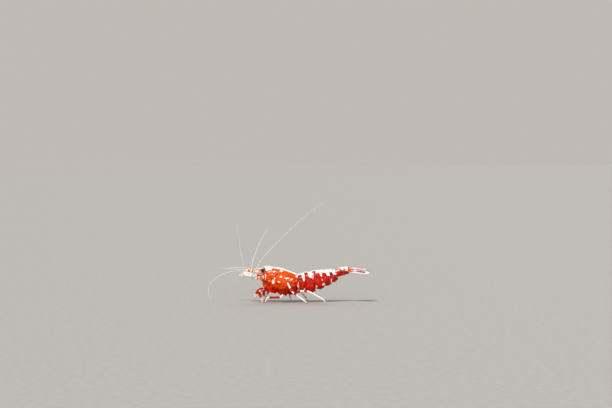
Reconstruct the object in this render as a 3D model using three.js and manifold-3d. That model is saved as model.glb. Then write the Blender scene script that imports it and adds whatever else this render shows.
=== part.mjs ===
// A dwarf freshwater shrimp (genus Caridina) as a still, life-size model.
// Millimetres, +Z up. The head looks along -X and the animal's left side is -Y.
import * as THREE from "three";
import { mergeVertices } from "three/addons/utils/BufferGeometryUtils.js";
import Module from "manifold-3d";

const wasm = await Module();
wasm.setup();

// Driving dimensions, in mm.
const gap = 0.08; // clear space between neighbouring pieces
const feelerRadius = 0.25;
const bladeThickness = 0.5; // scales, tail blades and swimmerets
const jointReach = 0.26; // from a limb's joint to the rings on either side of it
const carapaceFront = -7.1;
const carapaceRear = -0.55;
const abdomenRear = 9.6;
const tailTip = 13.9;
const rostrumTip = -8.7;
const eyeRadius = 0.37;
const eyeCentre = { x: -7.45, y: 0.95, z: 6.36 };

const sideSigns = { left: -1, right: 1 };

const colours = {
  shell: { color: 0xd6280f, roughness: 0.35 },
  white: { color: 0xf1ece2, roughness: 0.4 },
  leg: { color: 0xc4341c, roughness: 0.4 },
  feeler: { color: 0xd9dde0, roughness: 0.5 },
  eye: { color: 0x0c0a0c, roughness: 0.1 },
};

// ---------- helpers ----------

// A smooth function through [position, value] pairs.
function through(pairs) {
  const cubic = new THREE.CubicInterpolant(
    pairs.map((pair) => pair[0]),
    pairs.map((pair) => pair[1]),
    1
  );
  const first = pairs[0][0];
  const last = pairs[pairs.length - 1][0];
  return (x) => cubic.evaluate(Math.min(last, Math.max(first, x)))[0];
}

function solidOf(geometry) {
  const bare = geometry.clone();
  bare.deleteAttribute("normal");
  bare.deleteAttribute("uv");
  const merged = mergeVertices(bare, 1e-4);
  return new wasm.Manifold(
    new wasm.Mesh({
      numProp: 3,
      vertProperties: new Float32Array(merged.attributes.position.array),
      triVerts: new Uint32Array(merged.index.array),
    })
  );
}

function geometryOf(solid) {
  const mesh = solid.getMesh();
  const geometry = new THREE.BufferGeometry();
  geometry.setAttribute("position", new THREE.BufferAttribute(mesh.vertProperties, 3));
  geometry.setIndex(new THREE.BufferAttribute(mesh.triVerts, 1));
  const faceted = geometry.toNonIndexed();
  faceted.computeVertexNormals();
  return faceted;
}

// A closed cylinder whose every vertex is placed by place(along, angle, rim):
// along runs 0 to 1, angle is 0 at the top, rim is 0 at a cap's centre and 1 on the wall.
function wrapped(sides, steps, place) {
  const geometry = new THREE.CylinderGeometry(1, 1, 1, sides, steps);
  const position = geometry.attributes.position;
  const point = new THREE.Vector3();
  for (let i = 0; i < position.count; i++) {
    point.fromBufferAttribute(position, i);
    const angle = Math.atan2(point.x, point.z);
    const placed = place(0.5 - point.y, angle, Math.min(1, Math.hypot(point.x, point.z)));
    position.setXYZ(i, placed.x, placed.y, placed.z);
  }
  return solidOf(geometry);
}

const power = (value, exponent) => Math.sign(value) * Math.abs(value) ** exponent;

// A body section at x: widest a little below the middle, arched above.
function sectionPoint(x, angle, rim, size) {
  const middle = THREE.MathUtils.lerp(size.bottom, size.top, size.widestAt);
  const upper = Math.cos(angle) > 0;
  const reach = upper ? size.top - middle : middle - size.bottom;
  const flat = upper ? 0.95 : size.keel;
  return new THREE.Vector3(
    x,
    rim * size.halfWidth * power(Math.sin(angle), 0.9),
    middle + rim * reach * power(Math.cos(angle), flat)
  );
}

// The rings of a limb: straight lengths between joints, with each joint's corner cut short by two rings.
function limbRings(joints, radii, bend) {
  const points = joints.map((joint) => new THREE.Vector3(...joint));
  const rings = [{ at: points[0], radius: radii[0] }];
  for (let i = 1; i < points.length - 1; i++) {
    const before = points[i - 1].clone().sub(points[i]);
    const after = points[i + 1].clone().sub(points[i]);
    const reach = Math.min(bend, before.length() / 2.2, after.length() / 2.2);
    const step = (way) => points[i].clone().add(way.setLength(reach));
    rings.push({ at: step(before), radius: radii[i] }, { at: step(after), radius: radii[i] });
  }
  rings.push({ at: points[points.length - 1], radius: radii[radii.length - 1] });
  return rings;
}

function tangentAt(rings, i) {
  const back = rings[Math.max(0, i - 1)].at;
  const on = rings[Math.min(rings.length - 1, i + 1)].at;
  if (i > 0 && i < rings.length - 1) {
    const arriving = rings[i].at.clone().sub(back).normalize();
    const leaving = on.clone().sub(rings[i].at).normalize();
    return arriving.add(leaving).normalize();
  }
  return on.clone().sub(back).normalize();
}

// Skins a list of rings. flatten squeezes each ring across its up direction.
function skinned(rings, sides, options = {}) {
  const { grow = 0, flatten = 1, up = [0, 0, 1] } = options;
  let normal = new THREE.Vector3(...up);
  const frames = rings.map((ring, i) => {
    const tangent = tangentAt(rings, i);
    normal = normal.clone().addScaledVector(tangent, -normal.dot(tangent)).normalize();
    return { tangent, up: normal, right: normal.clone().cross(tangent) };
  });
  const last = rings.length - 1;
  return wrapped(sides, last, (along, angle, rim) => {
    const i = Math.round(along * last);
    const ring = rings[i];
    const frame = frames[i];
    const wide = ring.radius + grow;
    const thin = (ring.thin ?? ring.radius * flatten) + grow;
    const end = i === 0 ? -grow : i === last ? grow : 0;
    return ring.at
      .clone()
      .addScaledVector(frame.tangent, end)
      .addScaledVector(frame.right, rim * wide * Math.sin(angle))
      .addScaledVector(frame.up, rim * thin * Math.cos(angle));
  });
}

function limb(joints, radii, sides, options = {}) {
  return skinned(limbRings(joints, radii, jointReach), sides, options);
}

// Rings along a smooth curve, for feelers.
function curveRings(points, steps, radius) {
  const curve = new THREE.CatmullRomCurve3(points.map((point) => new THREE.Vector3(...point)));
  return curve.getSpacedPoints(steps).map((at) => ({ at, radius }));
}

const onFloor = (solid) => solid.trimByPlane([0, 0, 1], 0);

// Pieces are made first and named here; fitted ones are cut clear of their neighbours' grown copies.
const solids = new Map();
const clearances = new Map();

function keep(name, look, make, fit = (solid) => solid) {
  solids.set(name, { solid: fit(make(0)), look });
  clearances.set(name, () => fit(make(gap)));
}

function cutClear(name, neighbours) {
  const piece = solids.get(name);
  for (const neighbour of neighbours) {
    piece.solid = piece.solid.subtract(clearances.get(neighbour)());
  }
}

// ---------- head and carapace ----------

const carapaceTop = through([
  [-7.1, 7.1], [-6.2, 7.18], [-5.0, 7.08], [-3.6, 6.78], [-2.4, 6.38], [-1.4, 5.98], [-0.55, 5.66],
]);
const carapaceBottom = through([
  [-7.1, 4.35], [-6.4, 3.4], [-5.4, 2.72], [-4.0, 2.24], [-2.4, 2.05], [-1.2, 2.3], [-0.55, 3.3],
]);
const carapaceHalfWidth = through([
  [-7.1, 1.0], [-6.2, 1.32], [-5.0, 1.62], [-3.6, 1.84], [-2.2, 1.88], [-0.55, 1.62],
]);

function makeCarapace() {
  return wrapped(20, 11, (along, angle, rim) => {
    const x = THREE.MathUtils.lerp(carapaceFront, carapaceRear, along);
    return sectionPoint(x, angle, rim, {
      top: carapaceTop(x),
      bottom: carapaceBottom(x),
      halfWidth: carapaceHalfWidth(x),
      widestAt: 0.46,
      keel: 0.75,
    });
  });
}

// The rostrum is an upright blade with a few teeth along its upper edge.
function makeRostrum(grow) {
  const teeth = 4;
  const base = carapaceFront - gap;
  const shape = new THREE.Shape();
  shape.moveTo(base + grow, 6.5 - grow);
  shape.lineTo(base + grow, 7.06 + grow);
  for (let i = 0; i < teeth; i++) {
    const at = (i + 0.45) / (teeth + 0.4);
    const x = THREE.MathUtils.lerp(base, rostrumTip, at);
    const z = THREE.MathUtils.lerp(7.06, 6.78, at);
    shape.lineTo(x, z + grow);
    shape.lineTo(x - 0.16, z + 0.09 + grow);
    shape.lineTo(x - 0.17, z + grow - 0.01);
  }
  shape.lineTo(rostrumTip - grow, 6.7);
  shape.lineTo(-8.0, 6.52 - grow);
  const depth = bladeThickness + 2 * grow;
  const geometry = new THREE.ExtrudeGeometry(shape, { depth, bevelEnabled: false });
  geometry.translate(0, 0, -depth / 2);
  geometry.rotateX(Math.PI / 2);
  return solidOf(geometry);
}

// The face that carries the eyestalks and the bases of both pairs of feelers.
function makeHead(grow) {
  const height = through([[0, 0.5], [0.5, 0.92], [1, 1.02]]);
  return wrapped(12, 3, (along, angle, rim) => {
    const x = THREE.MathUtils.lerp(-7.95 - grow, -6.3 + grow, along);
    return sectionPoint(x, angle, rim, {
      top: 5.62 + height(along) * 0.72 + grow,
      bottom: 5.3 - height(along) * 1.15 - grow,
      halfWidth: 0.55 + 0.32 * along + grow,
      widestAt: 0.5,
      keel: 0.9,
    });
  });
}

// The underside of the chest, where the ten legs and the mouthparts are rooted.
function makeThorax(grow) {
  return wrapped(10, 5, (along, angle, rim) => {
    const x = THREE.MathUtils.lerp(-6.55 - grow, -0.75 + grow, along);
    const swell = Math.sin(Math.PI * THREE.MathUtils.clamp(along, 0.06, 0.94)) ** 0.4;
    const floor = THREE.MathUtils.lerp(2.75, 1.62, THREE.MathUtils.smoothstep(along, 0, 0.5));
    return sectionPoint(x, angle, rim, {
      top: 3.65 + grow,
      bottom: floor + 0.35 * (1 - swell) - grow,
      halfWidth: 0.5 + 0.58 * swell + grow,
      widestAt: 0.5,
      keel: 0.7,
    });
  });
}

// ---------- eyes ----------

for (const [side, sign] of Object.entries(sideSigns)) {
  const centre = [eyeCentre.x, sign * eyeCentre.y, eyeCentre.z];
  keep(`eye_${side}`, "eye", (grow) => {
    const ball = new THREE.SphereGeometry(eyeRadius + grow, 12, 8);
    ball.scale(0.92, 1, 1);
    ball.translate(...centre);
    return solidOf(ball);
  });
  keep(`eyestalk_${side}`, "shell", (grow) =>
    limb([[-7.2, sign * 0.26, 6.2], centre], [0.25, 0.31], 9, { grow })
  );
  cutClear(`eyestalk_${side}`, [`eye_${side}`]);
}

// ---------- first pair of feelers (antennules) ----------

const antennules = {
  left: {
    stalk: [[-7.6, -0.34, 6.02], [-9.0, -0.4, 6.12], [-10.0, -0.44, 6.3], [-11.0, -0.5, 6.45]],
    upper: [[-11.12, -0.55, 6.85], [-11.5, -0.7, 8.6], [-12.0, -0.95, 11.4], [-12.6, -1.2, 15.4]],
    front: [[-11.45, -0.5, 6.5], [-12.9, -0.7, 6.62], [-14.4, -1.0, 6.72], [-16.2, -1.4, 6.9]],
  },
  right: {
    stalk: [[-7.6, 0.34, 6.02], [-8.6, 0.42, 6.14], [-9.3, 0.5, 6.34], [-9.95, 0.58, 6.5]],
    upper: [
      [-9.62, 0.66, 7.05], [-9.42, 1.1, 8.35], [-8.9, 1.9, 9.8], [-7.95, 3.2, 12.1], [-6.3, 5.0, 15.0],
    ],
    front: [[-10.35, 0.66, 6.62], [-11.9, 1.05, 6.85], [-13.5, 1.7, 6.8], [-15.0, 2.5, 6.5]],
  },
};

for (const [side, parts] of Object.entries(antennules)) {
  keep(`antennule_${side}`, "white", (grow) =>
    limb(parts.stalk, [0.33, 0.31, 0.29, 0.27], 8, { grow })
  );
  for (const feeler of ["upper", "front"]) {
    keep(`antennule_${side}_${feeler}_feeler`, "feeler", (grow) =>
      skinned(curveRings(parts[feeler], 8, feelerRadius), 7, { grow, up: [0, 1, 0] })
    );
    cutClear(`antennule_${side}`, [`antennule_${side}_${feeler}_feeler`]);
  }
}

// ---------- second pair of feelers (antennae) ----------

const antennae = {
  left: {
    base: [[-7.35, -0.98, 5.05], [-8.3, -1.15, 4.92], [-9.15, -1.25, 4.78]],
    scale: { root: [-8.45, -1.12, 5.4], tip: [-12.0, -1.32, 5.6], halfWidth: 0.6, up: [0, -0.45, 0.9] },
    feeler: [
      [-9.5, -1.5, 4.95], [-9.55, -1.9, 5.45], [-9.1, -2.0, 6.35], [-8.4, -1.95, 7.3],
      [-7.3, -2.1, 9.0], [-5.3, -2.6, 11.2], [-2.6, -3.3, 13.9], [0.6, -4.1, 17.0], [4.6, -5.0, 20.0],
    ],
    partAt: 0.42,
  },
  right: {
    base: [[-7.35, 0.98, 5.05], [-8.3, 1.15, 4.92], [-9.15, 1.25, 4.78]],
    scale: { root: [-8.45, 1.12, 5.4], tip: [-12.25, 1.35, 5.45], halfWidth: 0.62, up: [0, 0.92, 0.38] },
    feeler: [
      [-9.5, 1.55, 4.9], [-10.3, 1.95, 5.35], [-11.3, 2.1, 5.95], [-12.8, 2.2, 6.05], [-14.6, 2.3, 5.75],
      [-16.2, 2.4, 5.1], [-17.7, 2.4, 4.0], [-18.45, 2.3, 2.6], [-18.3, 2.1, 1.2], [-17.7, 1.9, 0.1],
    ],
    partAt: 0.5,
  },
};

// A thin oval blade from root to tip, facing up.
function blade(root, tip, halfWidth, options = {}) {
  const { grow = 0, up = [0, 0, 1], blunt = 0.75, steps = 6, sides = 8 } = options;
  const start = new THREE.Vector3(...root);
  const end = new THREE.Vector3(...tip);
  const rings = [];
  for (let i = 0; i <= steps; i++) {
    const along = i / steps;
    const swell = Math.sin(Math.PI * (0.16 + blunt * along)) ** 0.7;
    const edge = Math.max(bladeThickness / 2, halfWidth * swell);
    rings.push({ at: start.clone().lerp(end, along), radius: edge, thin: bladeThickness / 2 });
  }
  return skinned(rings, sides, { grow, up });
}

for (const [side, parts] of Object.entries(antennae)) {
  const { root, tip, halfWidth, up } = parts.scale;
  keep(`antenna_${side}_base`, "shell", (grow) => limb(parts.base, [0.4, 0.36, 0.3], 9, { grow }));
  keep(`antenna_${side}_scale`, "white", (grow) => blade(root, tip, halfWidth, { grow, up, blunt: 0.66 }));
  const rings = curveRings(parts.feeler, 22, feelerRadius);
  const cut = Math.round(parts.partAt * (rings.length - 1));
  const lengths = [rings.slice(0, cut + 1), rings.slice(cut)];
  lengths[1][0] = {
    at: lengths[1][0].at.clone().lerp(lengths[1][1].at, gap / 0.9),
    radius: feelerRadius,
  };
  lengths.forEach((length, i) =>
    keep(
      `antenna_${side}_feeler_${i + 1}`,
      "feeler",
      (grow) => skinned(length, 7, { grow, up: [0, 1, 0] }),
      onFloor
    )
  );
  cutClear(`antenna_${side}_scale`, [`antenna_${side}_feeler_1`]);
  cutClear(`antenna_${side}_base`, [`antenna_${side}_scale`, `antenna_${side}_feeler_1`]);
}

// ---------- mouthparts and legs ----------

// A limb is thickest at its root; from there each joint is a little thinner, down to 0.25.
const legRadius = (joint) => Math.max(0.25, 0.34 - 0.025 * joint);

const legs = {
  maxilliped_left: [[-6.1, -0.4, 3.0], [-6.9, -0.52, 3.2], [-7.6, -0.62, 2.95], [-8.1, -0.66, 2.4]],
  maxilliped_right: [[-6.1, 0.4, 3.0], [-6.9, 0.52, 3.15], [-7.5, 0.62, 2.85], [-7.9, 0.66, 2.3]],
  claw_leg_1_left: [[-5.5, -0.7, 2.4], [-7.2, -1.75, 2.98], [-8.15, -2.0, 2.75]],
  claw_leg_1_right: [[-5.5, 0.7, 2.4], [-7.1, 1.7, 2.75], [-8.1, 1.95, 2.45]],
  claw_leg_2_left: [[-4.75, -0.8, 2.0], [-6.7, -2.15, 2.5], [-8.15, -2.7, 2.35]],
  claw_leg_2_right: [[-4.75, 0.8, 2.0], [-6.1, 2.1, 2.4], [-7.25, 2.5, 2.2]],
  walking_leg_3_left: [
    [-3.9, -0.8, 1.75], [-3.2, -2.75, 1.9], [-3.75, -3.15, 1.2], [-6.45, -3.3, 1.15], [-7.15, -3.3, -0.15],
  ],
  walking_leg_3_right: [
    [-3.9, 0.8, 1.75], [-4.2, 1.95, 1.7], [-5.1, 2.65, 3.3], [-6.1, 3.05, 2.45], [-7.0, 3.4, 0.6],
    [-7.25, 3.45, -0.15],
  ],
  walking_leg_4_left: [
    [-3.05, -0.8, 1.7], [-2.75, -1.9, 1.65], [-2.5, -2.65, 4.0], [-1.45, -3.0, 2.15], [0.95, -3.4, 0.5],
    [1.65, -3.5, -0.15],
  ],
  walking_leg_4_right: [
    [-3.05, 0.8, 1.7], [-3.1, 1.95, 1.65], [-3.1, 2.65, 3.9], [-2.6, 3.05, 2.35], [-1.9, 3.55, 0.6],
    [-1.65, 3.65, -0.15],
  ],
  walking_leg_5_left: [
    [-2.2, -0.8, 1.7], [0.4, -2.65, 2.4], [1.85, -3.0, 2.3], [4.65, -3.45, 0.8], [5.4, -3.5, -0.12],
  ],
  walking_leg_5_right: [
    [-2.2, 0.8, 1.7], [-1.6, 2.02, 1.66], [-0.88, 2.66, 3.88], [-0.2, 2.95, 2.32], [1.22, 3.4, 0.6],
    [1.55, 3.5, -0.15],
  ],
};

// The pincers: where each starts from its wrist and where its closed fingers end.
const pincers = {
  claw_leg_1_left: [-9.2, -2.1, 1.05],
  claw_leg_1_right: [-9.0, 2.1, 0.85],
  claw_leg_2_left: [-7.4, -2.9, -0.15],
  claw_leg_2_right: [-7.45, 2.6, -0.15],
};

// A pincer leg: the arm, then a swollen palm that narrows to two fingers with a slit between them.
function makeClawLeg(name, grow) {
  const arm = legs[name];
  const wrist = new THREE.Vector3(...arm[arm.length - 1]);
  const tip = new THREE.Vector3(...pincers[name]);
  const at = (share) => wrist.clone().lerp(tip, share);
  const rings = limbRings([...arm, tip.toArray()], [0.34, 0.28, 0.25, 0.25], jointReach);
  rings.pop();
  rings.push({ at: at(0.36), radius: 0.34 }, { at: at(0.6), radius: 0.33 }, { at: at(1), radius: 0.25 });
  const solid = skinned(rings, 7, { grow });
  if (grow) return solid;
  const length = wrist.distanceTo(tip);
  const slit = new THREE.BoxGeometry(0.1, length, 1.2);
  slit.translate(0, length * 1.08, 0);
  const turn = new THREE.Quaternion().setFromUnitVectors(
    new THREE.Vector3(0, 1, 0),
    tip.clone().sub(wrist).normalize()
  );
  slit.applyQuaternion(turn);
  slit.translate(...wrist.toArray());
  return solid.subtract(solidOf(slit));
}

for (const name of Object.keys(legs)) {
  if (name in pincers) {
    keep(name, "leg", (grow) => makeClawLeg(name, grow), onFloor);
  } else {
    const radii = legs[name].map((joint, i) => legRadius(i));
    keep(name, "leg", (grow) => limb(legs[name], radii, 7, { grow }), onFloor);
  }
}

for (const side of Object.keys(sideSigns)) cutClear(`claw_leg_1_${side}`, [`claw_leg_2_${side}`]);

// ---------- abdomen ----------

const abdomenTop = through([
  [-0.6, 5.6], [1.0, 6.1], [2.4, 6.32], [4.0, 6.5], [5.6, 6.6], [6.8, 6.66], [8.0, 6.98], [9.4, 7.16],
  [9.6, 7.1],
]);

// Each ring of the tail: where its back starts and ends, how far its side flap leans back and hangs down,
// how wide it is, and how much of the flap's front and rear corner is rounded off.
const rings = [
  { from: -0.45, to: 0.85, lean: 0.1, flap: 2.35, halfWidth: 1.6, frontCorner: 0.0, rearCorner: 0.1 },
  { from: 0.93, to: 2.55, lean: 0.35, flap: 1.85, halfWidth: 1.78, frontCorner: -0.25, rearCorner: 0.2 },
  { from: 2.63, to: 4.15, lean: 0.75, flap: 2.6, halfWidth: 1.62, frontCorner: 0.25, rearCorner: 0.15 },
  { from: 4.23, to: 5.65, lean: 0.75, flap: 3.35, halfWidth: 1.42, frontCorner: 0.25, rearCorner: 0.15 },
  { from: 5.73, to: 7.0, lean: 0.6, flap: 4.15, halfWidth: 1.2, frontCorner: 0.2, rearCorner: 0.15 },
  { from: 7.08, to: abdomenRear, lean: 0.1, flap: 4.9, halfWidth: 0.95, frontCorner: 0.2, rearCorner: -0.1 },
];
const flapThickness = 0.52;

function makeRing(index, grow) {
  const ring = rings[index];
  const isLast = index === rings.length - 1;
  return wrapped(18, 3, (along, angle, rim) => {
    const depth = rim * (1 - Math.cos(angle)) / 2;
    const corner = THREE.MathUtils.smoothstep(depth, 0.5, 1);
    const front = ring.from + ring.lean * depth + ring.frontCorner * corner - grow;
    const rear = ring.to + ring.lean * depth - ring.rearCorner * corner + grow;
    const x = THREE.MathUtils.lerp(front, rear, along);
    const back = THREE.MathUtils.lerp(ring.from, ring.to, along);
    const round = Math.sin(Math.PI * THREE.MathUtils.lerp(0.25, 0.8, along)) * 0.08;
    const narrow = isLast ? THREE.MathUtils.lerp(1, 0.74, along) : 1;
    const lift = isLast ? 0.5 * along : 0;
    return sectionPoint(x, angle, rim, {
      top: abdomenTop(back) - 0.06 + round + grow,
      bottom: ring.flap + lift - grow,
      halfWidth: ring.halfWidth * narrow * (0.95 + round * 0.6) + grow,
      widestAt: 0.42,
      keel: 0.6,
    });
  });
}

// The hollow under the tail between the side flaps, where the swimmerets hang.
function makeHollow() {
  const floor = through([[-1, 1.5], [2.5, 1.6], [7, 3.6]]);
  const roof = through([[-1, 3.9], [2.5, 4.0], [4.2, 4.35], [7.0, 5.35]]);
  const halfWidth = through([[-1, 1.05], [2.5, 1.2], [4.2, 1.02], [7.0, 0.62]]);
  return wrapped(10, 4, (along, angle, rim) => {
    const x = THREE.MathUtils.lerp(-1, 7.0, along);
    return sectionPoint(x, angle, rim, {
      top: roof(x),
      bottom: floor(x) - 0.8,
      halfWidth: halfWidth(x),
      widestAt: 0.5,
      keel: 0.5,
    });
  });
}

// A swimmeret is a flat paddle that hangs from the roof of the hollow and sweeps back.
function makeSwimmeret(index, sign, grow) {
  const root = rings[index];
  const x = (root.from + root.to) / 2 + 0.15;
  const top = [4.0, 4.05, 4.3, 4.85, 5.2][index] - gap;
  const length = [1.5, 1.75, 1.5, 1.25, 0.95][index];
  const y = sign * [0.6, 0.62, 0.56, 0.46, 0.36][index];
  return blade([x, y, top], [x + length * 0.55, y * 1.05, top - length], 0.36, {
    grow,
    up: [0, 1, 0],
    steps: 3,
    sides: 6,
  });
}

for (let i = 0; i < rings.length; i++) keep(`abdomen_${i + 1}`, "shell", (grow) => makeRing(i, grow));
for (let i = 0; i < rings.length - 1; i++) {
  for (const [side, sign] of Object.entries(sideSigns)) {
    keep(`swimmeret_${i + 1}_${side}`, "leg", (grow) => makeSwimmeret(i, sign, grow));
  }
}

// ---------- tail fan ----------

const fan = {
  telson: { root: [9.74, 0, 6.8], tip: [13.3, 0, 6.42], halfWidth: 0.44, blunt: 0.72 },
  uropod_inner: { root: [9.84, 0.5, 6.5], tip: [13.65, 1.2, 6.18], halfWidth: 0.46, blunt: 0.66 },
  uropod_outer: { root: [9.92, 0.8, 6.2], tip: [tailTip, 2.2, 5.95], halfWidth: 0.52, blunt: 0.64 },
};

keep("telson", "white", (grow) =>
  blade(fan.telson.root, fan.telson.tip, fan.telson.halfWidth, { grow, blunt: fan.telson.blunt })
);
for (const [side, sign] of Object.entries(sideSigns)) {
  for (const part of ["inner", "outer"]) {
    const { root, tip, halfWidth, blunt } = fan[`uropod_${part}`];
    const turned = (point) => [point[0], sign * point[1], point[2]];
    keep(`uropod_${side}_${part}`, "shell", (grow) =>
      blade(turned(root), turned(tip), halfWidth, { grow, blunt, up: [0, sign * 0.18, 1] })
    );
  }
  cutClear(`uropod_${side}_inner`, ["telson"]);
  cutClear(`uropod_${side}_outer`, [`uropod_${side}_inner`]);
}

// ---------- fitting ----------

keep("head", "shell", makeHead);
keep("thorax", "shell", makeThorax);
keep("rostrum", "white", makeRostrum);
keep("carapace", "shell", makeCarapace);

for (const [side, sign] of Object.entries(sideSigns)) {
  const socket = [`eyestalk_${side}`, `antennule_${side}`, `antenna_${side}_base`, `antenna_${side}_scale`];
  cutClear("head", [...socket, `eye_${side}`]);
  cutClear(`eyestalk_${side}`, [`antennule_${side}`]);
  cutClear(`antenna_${side}_base`, [`antennule_${side}`]);
  cutClear(`antenna_${side}_scale`, [`antennule_${side}`]);
}
const legNames = Object.keys(legs);
cutClear("thorax", ["head", ...legNames]);
cutClear("carapace", [
  "head", "thorax", "rostrum", "abdomen_1", "claw_leg_1_left", "claw_leg_1_right",
  "eye_left", "eye_right", "eyestalk_left", "eyestalk_right",
  "antenna_left_base", "antenna_right_base", "antennule_left", "antennule_right",
]);
const hollow = makeHollow();
for (let i = 0; i < rings.length; i++) {
  const piece = solids.get(`abdomen_${i + 1}`);
  if (i < rings.length - 1) {
    piece.solid = piece.solid.subtract(hollow);
    cutClear(`abdomen_${i + 1}`, [`swimmeret_${i + 1}_left`, `swimmeret_${i + 1}_right`]);
  }
  if (i > 0) cutClear(`abdomen_${i + 1}`, [`abdomen_${i}`]);
}
cutClear("abdomen_1", ["thorax", "walking_leg_5_left", "walking_leg_5_right"]);
cutClear("abdomen_2", ["walking_leg_5_left"]);

// ---------- the model ----------

const shrimp = new THREE.Group();
for (const [name, { solid, look }] of solids) {
  const material = new THREE.MeshStandardMaterial({ ...colours[look], metalness: 0 });
  const mesh = new THREE.Mesh(geometryOf(solid), material);
  mesh.name = name;
  shrimp.add(mesh);
}

// The origin is on the floor, under the middle of the whole outline.
const outline = new THREE.Box3().setFromObject(shrimp);
const middle = outline.getCenter(new THREE.Vector3());
shrimp.position.set(-middle.x, -middle.y, -outline.min.z);

export default shrimp;
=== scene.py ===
import math
import random

import bpy
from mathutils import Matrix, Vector


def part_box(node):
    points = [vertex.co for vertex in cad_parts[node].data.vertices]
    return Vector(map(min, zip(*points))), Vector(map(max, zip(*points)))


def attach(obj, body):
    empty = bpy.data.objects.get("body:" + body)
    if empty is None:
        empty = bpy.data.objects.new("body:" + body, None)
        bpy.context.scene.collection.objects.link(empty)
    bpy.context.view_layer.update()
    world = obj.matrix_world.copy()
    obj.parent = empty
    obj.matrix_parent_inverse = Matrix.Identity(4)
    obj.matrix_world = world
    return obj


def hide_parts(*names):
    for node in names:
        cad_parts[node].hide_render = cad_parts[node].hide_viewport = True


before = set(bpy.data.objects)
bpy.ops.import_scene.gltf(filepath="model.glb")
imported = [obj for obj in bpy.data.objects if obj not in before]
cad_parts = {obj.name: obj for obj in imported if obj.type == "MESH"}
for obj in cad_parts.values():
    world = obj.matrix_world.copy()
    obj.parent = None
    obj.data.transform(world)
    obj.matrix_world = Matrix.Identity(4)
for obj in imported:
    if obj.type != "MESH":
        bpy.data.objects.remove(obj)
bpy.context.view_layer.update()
random.seed(11)

# The animal is measured in its own millimetres: head along -X, its left side along -Y, the floor at z = 0.
mm = 0.001
carapaceFront = -7.1
low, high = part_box("carapace")
shift = Vector((low.x / mm - carapaceFront, (low.y + high.y) / 2 / mm, 0.0))
sides = {"left": -1, "right": 1}


def inFrame(point):
    return (Vector(point) + shift) * mm


# The same place on the left or the right side.
def onSide(point, sign):
    return Vector((point[0], sign * point[1], point[2]))


def blend(a, b, share):
    return a + (b - a) * share


def smooth(low, high, value):
    share = min(1.0, max(0.0, (value - low) / (high - low)))
    return share * share * (3 - 2 * share)


def signedPower(value, exponent):
    return math.copysign(abs(value) ** exponent, value)


# A smooth curve through (position, value) pairs.
def through(pairs):
    last = len(pairs) - 1
    slopes = []
    for i in range(last + 1):
        before, after = pairs[max(0, i - 1)], pairs[min(last, i + 1)]
        slopes.append((after[1] - before[1]) / (after[0] - before[0]))

    def value(x):
        x = min(pairs[last][0], max(pairs[0][0], x))
        i = 0
        while i < last - 1 and x > pairs[i + 1][0]:
            i += 1
        (x0, y0), (x1, y1) = pairs[i], pairs[i + 1]
        span = x1 - x0
        t = (x - x0) / span
        return (
            y0 * (1 + 2 * t) * (1 - t) ** 2
            + y1 * t * t * (3 - 2 * t)
            + slopes[i] * span * t * (1 - t) ** 2
            - slopes[i + 1] * span * t * t * (1 - t)
        )

    return value


def select(*pieces):
    bpy.ops.object.select_all(action="DESELECT")
    for piece in pieces:
        piece.select_set(True)
    bpy.context.view_layer.objects.active = pieces[0]


paints = ("white", "yellow", "warm")  # how white, how yellow and how orange each place of a piece is
weldDistance = 1e-7  # metres; points of a grid that fall on one place become one
tiny = 1e-9  # stands in for the length of a step that has none


def laidGrid(name, around, along, place, paint=None):
    bpy.ops.object.select_all(action="DESELECT")
    bpy.ops.mesh.primitive_grid_add(x_subdivisions=around, y_subdivisions=along, size=2)
    piece = bpy.context.object
    piece.name = name
    piece.data.name = name
    levels = {key: piece.data.attributes.new(key, "FLOAT", "POINT") for key in paints}
    for i, vertex in enumerate(piece.data.vertices):
        u, v = (vertex.co.x + 1) / 2, (vertex.co.y + 1) / 2
        point = Vector(place(u, v))
        vertex.co = inFrame(point)
        if paint:
            for key, level in zip(paints, paint(u, v, point)):
                levels[key].data[i].value = level
    bpy.ops.object.mode_set(mode="EDIT")
    bpy.ops.mesh.select_all(action="SELECT")
    bpy.ops.mesh.remove_doubles(threshold=weldDistance)
    bpy.ops.mesh.normals_make_consistent(inside=False)
    bpy.ops.object.mode_set(mode="OBJECT")
    bpy.ops.object.shade_smooth()
    return piece


def withModifier(piece, kind, **settings):
    select(piece)
    modifier = piece.modifiers.new(kind.title(), kind)
    for key, value in settings.items():
        setattr(modifier, key, value)
    bpy.ops.object.modifier_apply(modifier=modifier.name)
    return piece


def joined(name, pieces):
    select(*pieces)
    if len(pieces) > 1:
        bpy.ops.object.join()
    pieces[0].name = name
    pieces[0].data.name = name
    return pieces[0]


# A smooth line through points, cut into equal steps.
def curveThrough(points, steps, fineSteps=24):
    points = [Vector(point) for point in points]
    fine = []
    for i in range(len(points) - 1):
        p0, p1 = points[max(0, i - 1)], points[i]
        p2, p3 = points[i + 1], points[min(len(points) - 1, i + 2)]
        for k in range(fineSteps):
            t = k / fineSteps
            fine.append(
                0.5 * (2 * p1 + (p2 - p0) * t + (2 * p0 - 5 * p1 + 4 * p2 - p3) * t * t
                       + (3 * p1 - p0 - 3 * p2 + p3) * t ** 3)
            )
    fine.append(points[-1])
    lengths = [0.0]
    for a, b in zip(fine, fine[1:]):
        lengths.append(lengths[-1] + (b - a).length)
    line = []
    k = 0
    for i in range(steps + 1):
        want = lengths[-1] * i / steps
        while k < len(fine) - 2 and lengths[k + 1] < want:
            k += 1
        share = (want - lengths[k]) / max(tiny, lengths[k + 1] - lengths[k])
        line.append(fine[k].lerp(fine[k + 1], min(1.0, share)))
    return line


def framesAlong(line, up):
    normal = Vector(up)
    frames = []
    for i in range(len(line)):
        tangent = (line[min(len(line) - 1, i + 1)] - line[max(0, i - 1)]).normalized()
        normal = (normal - tangent * normal.dot(tangent)).normalized()
        frames.append((tangent, normal.cross(tangent), normal))
    return frames


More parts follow.
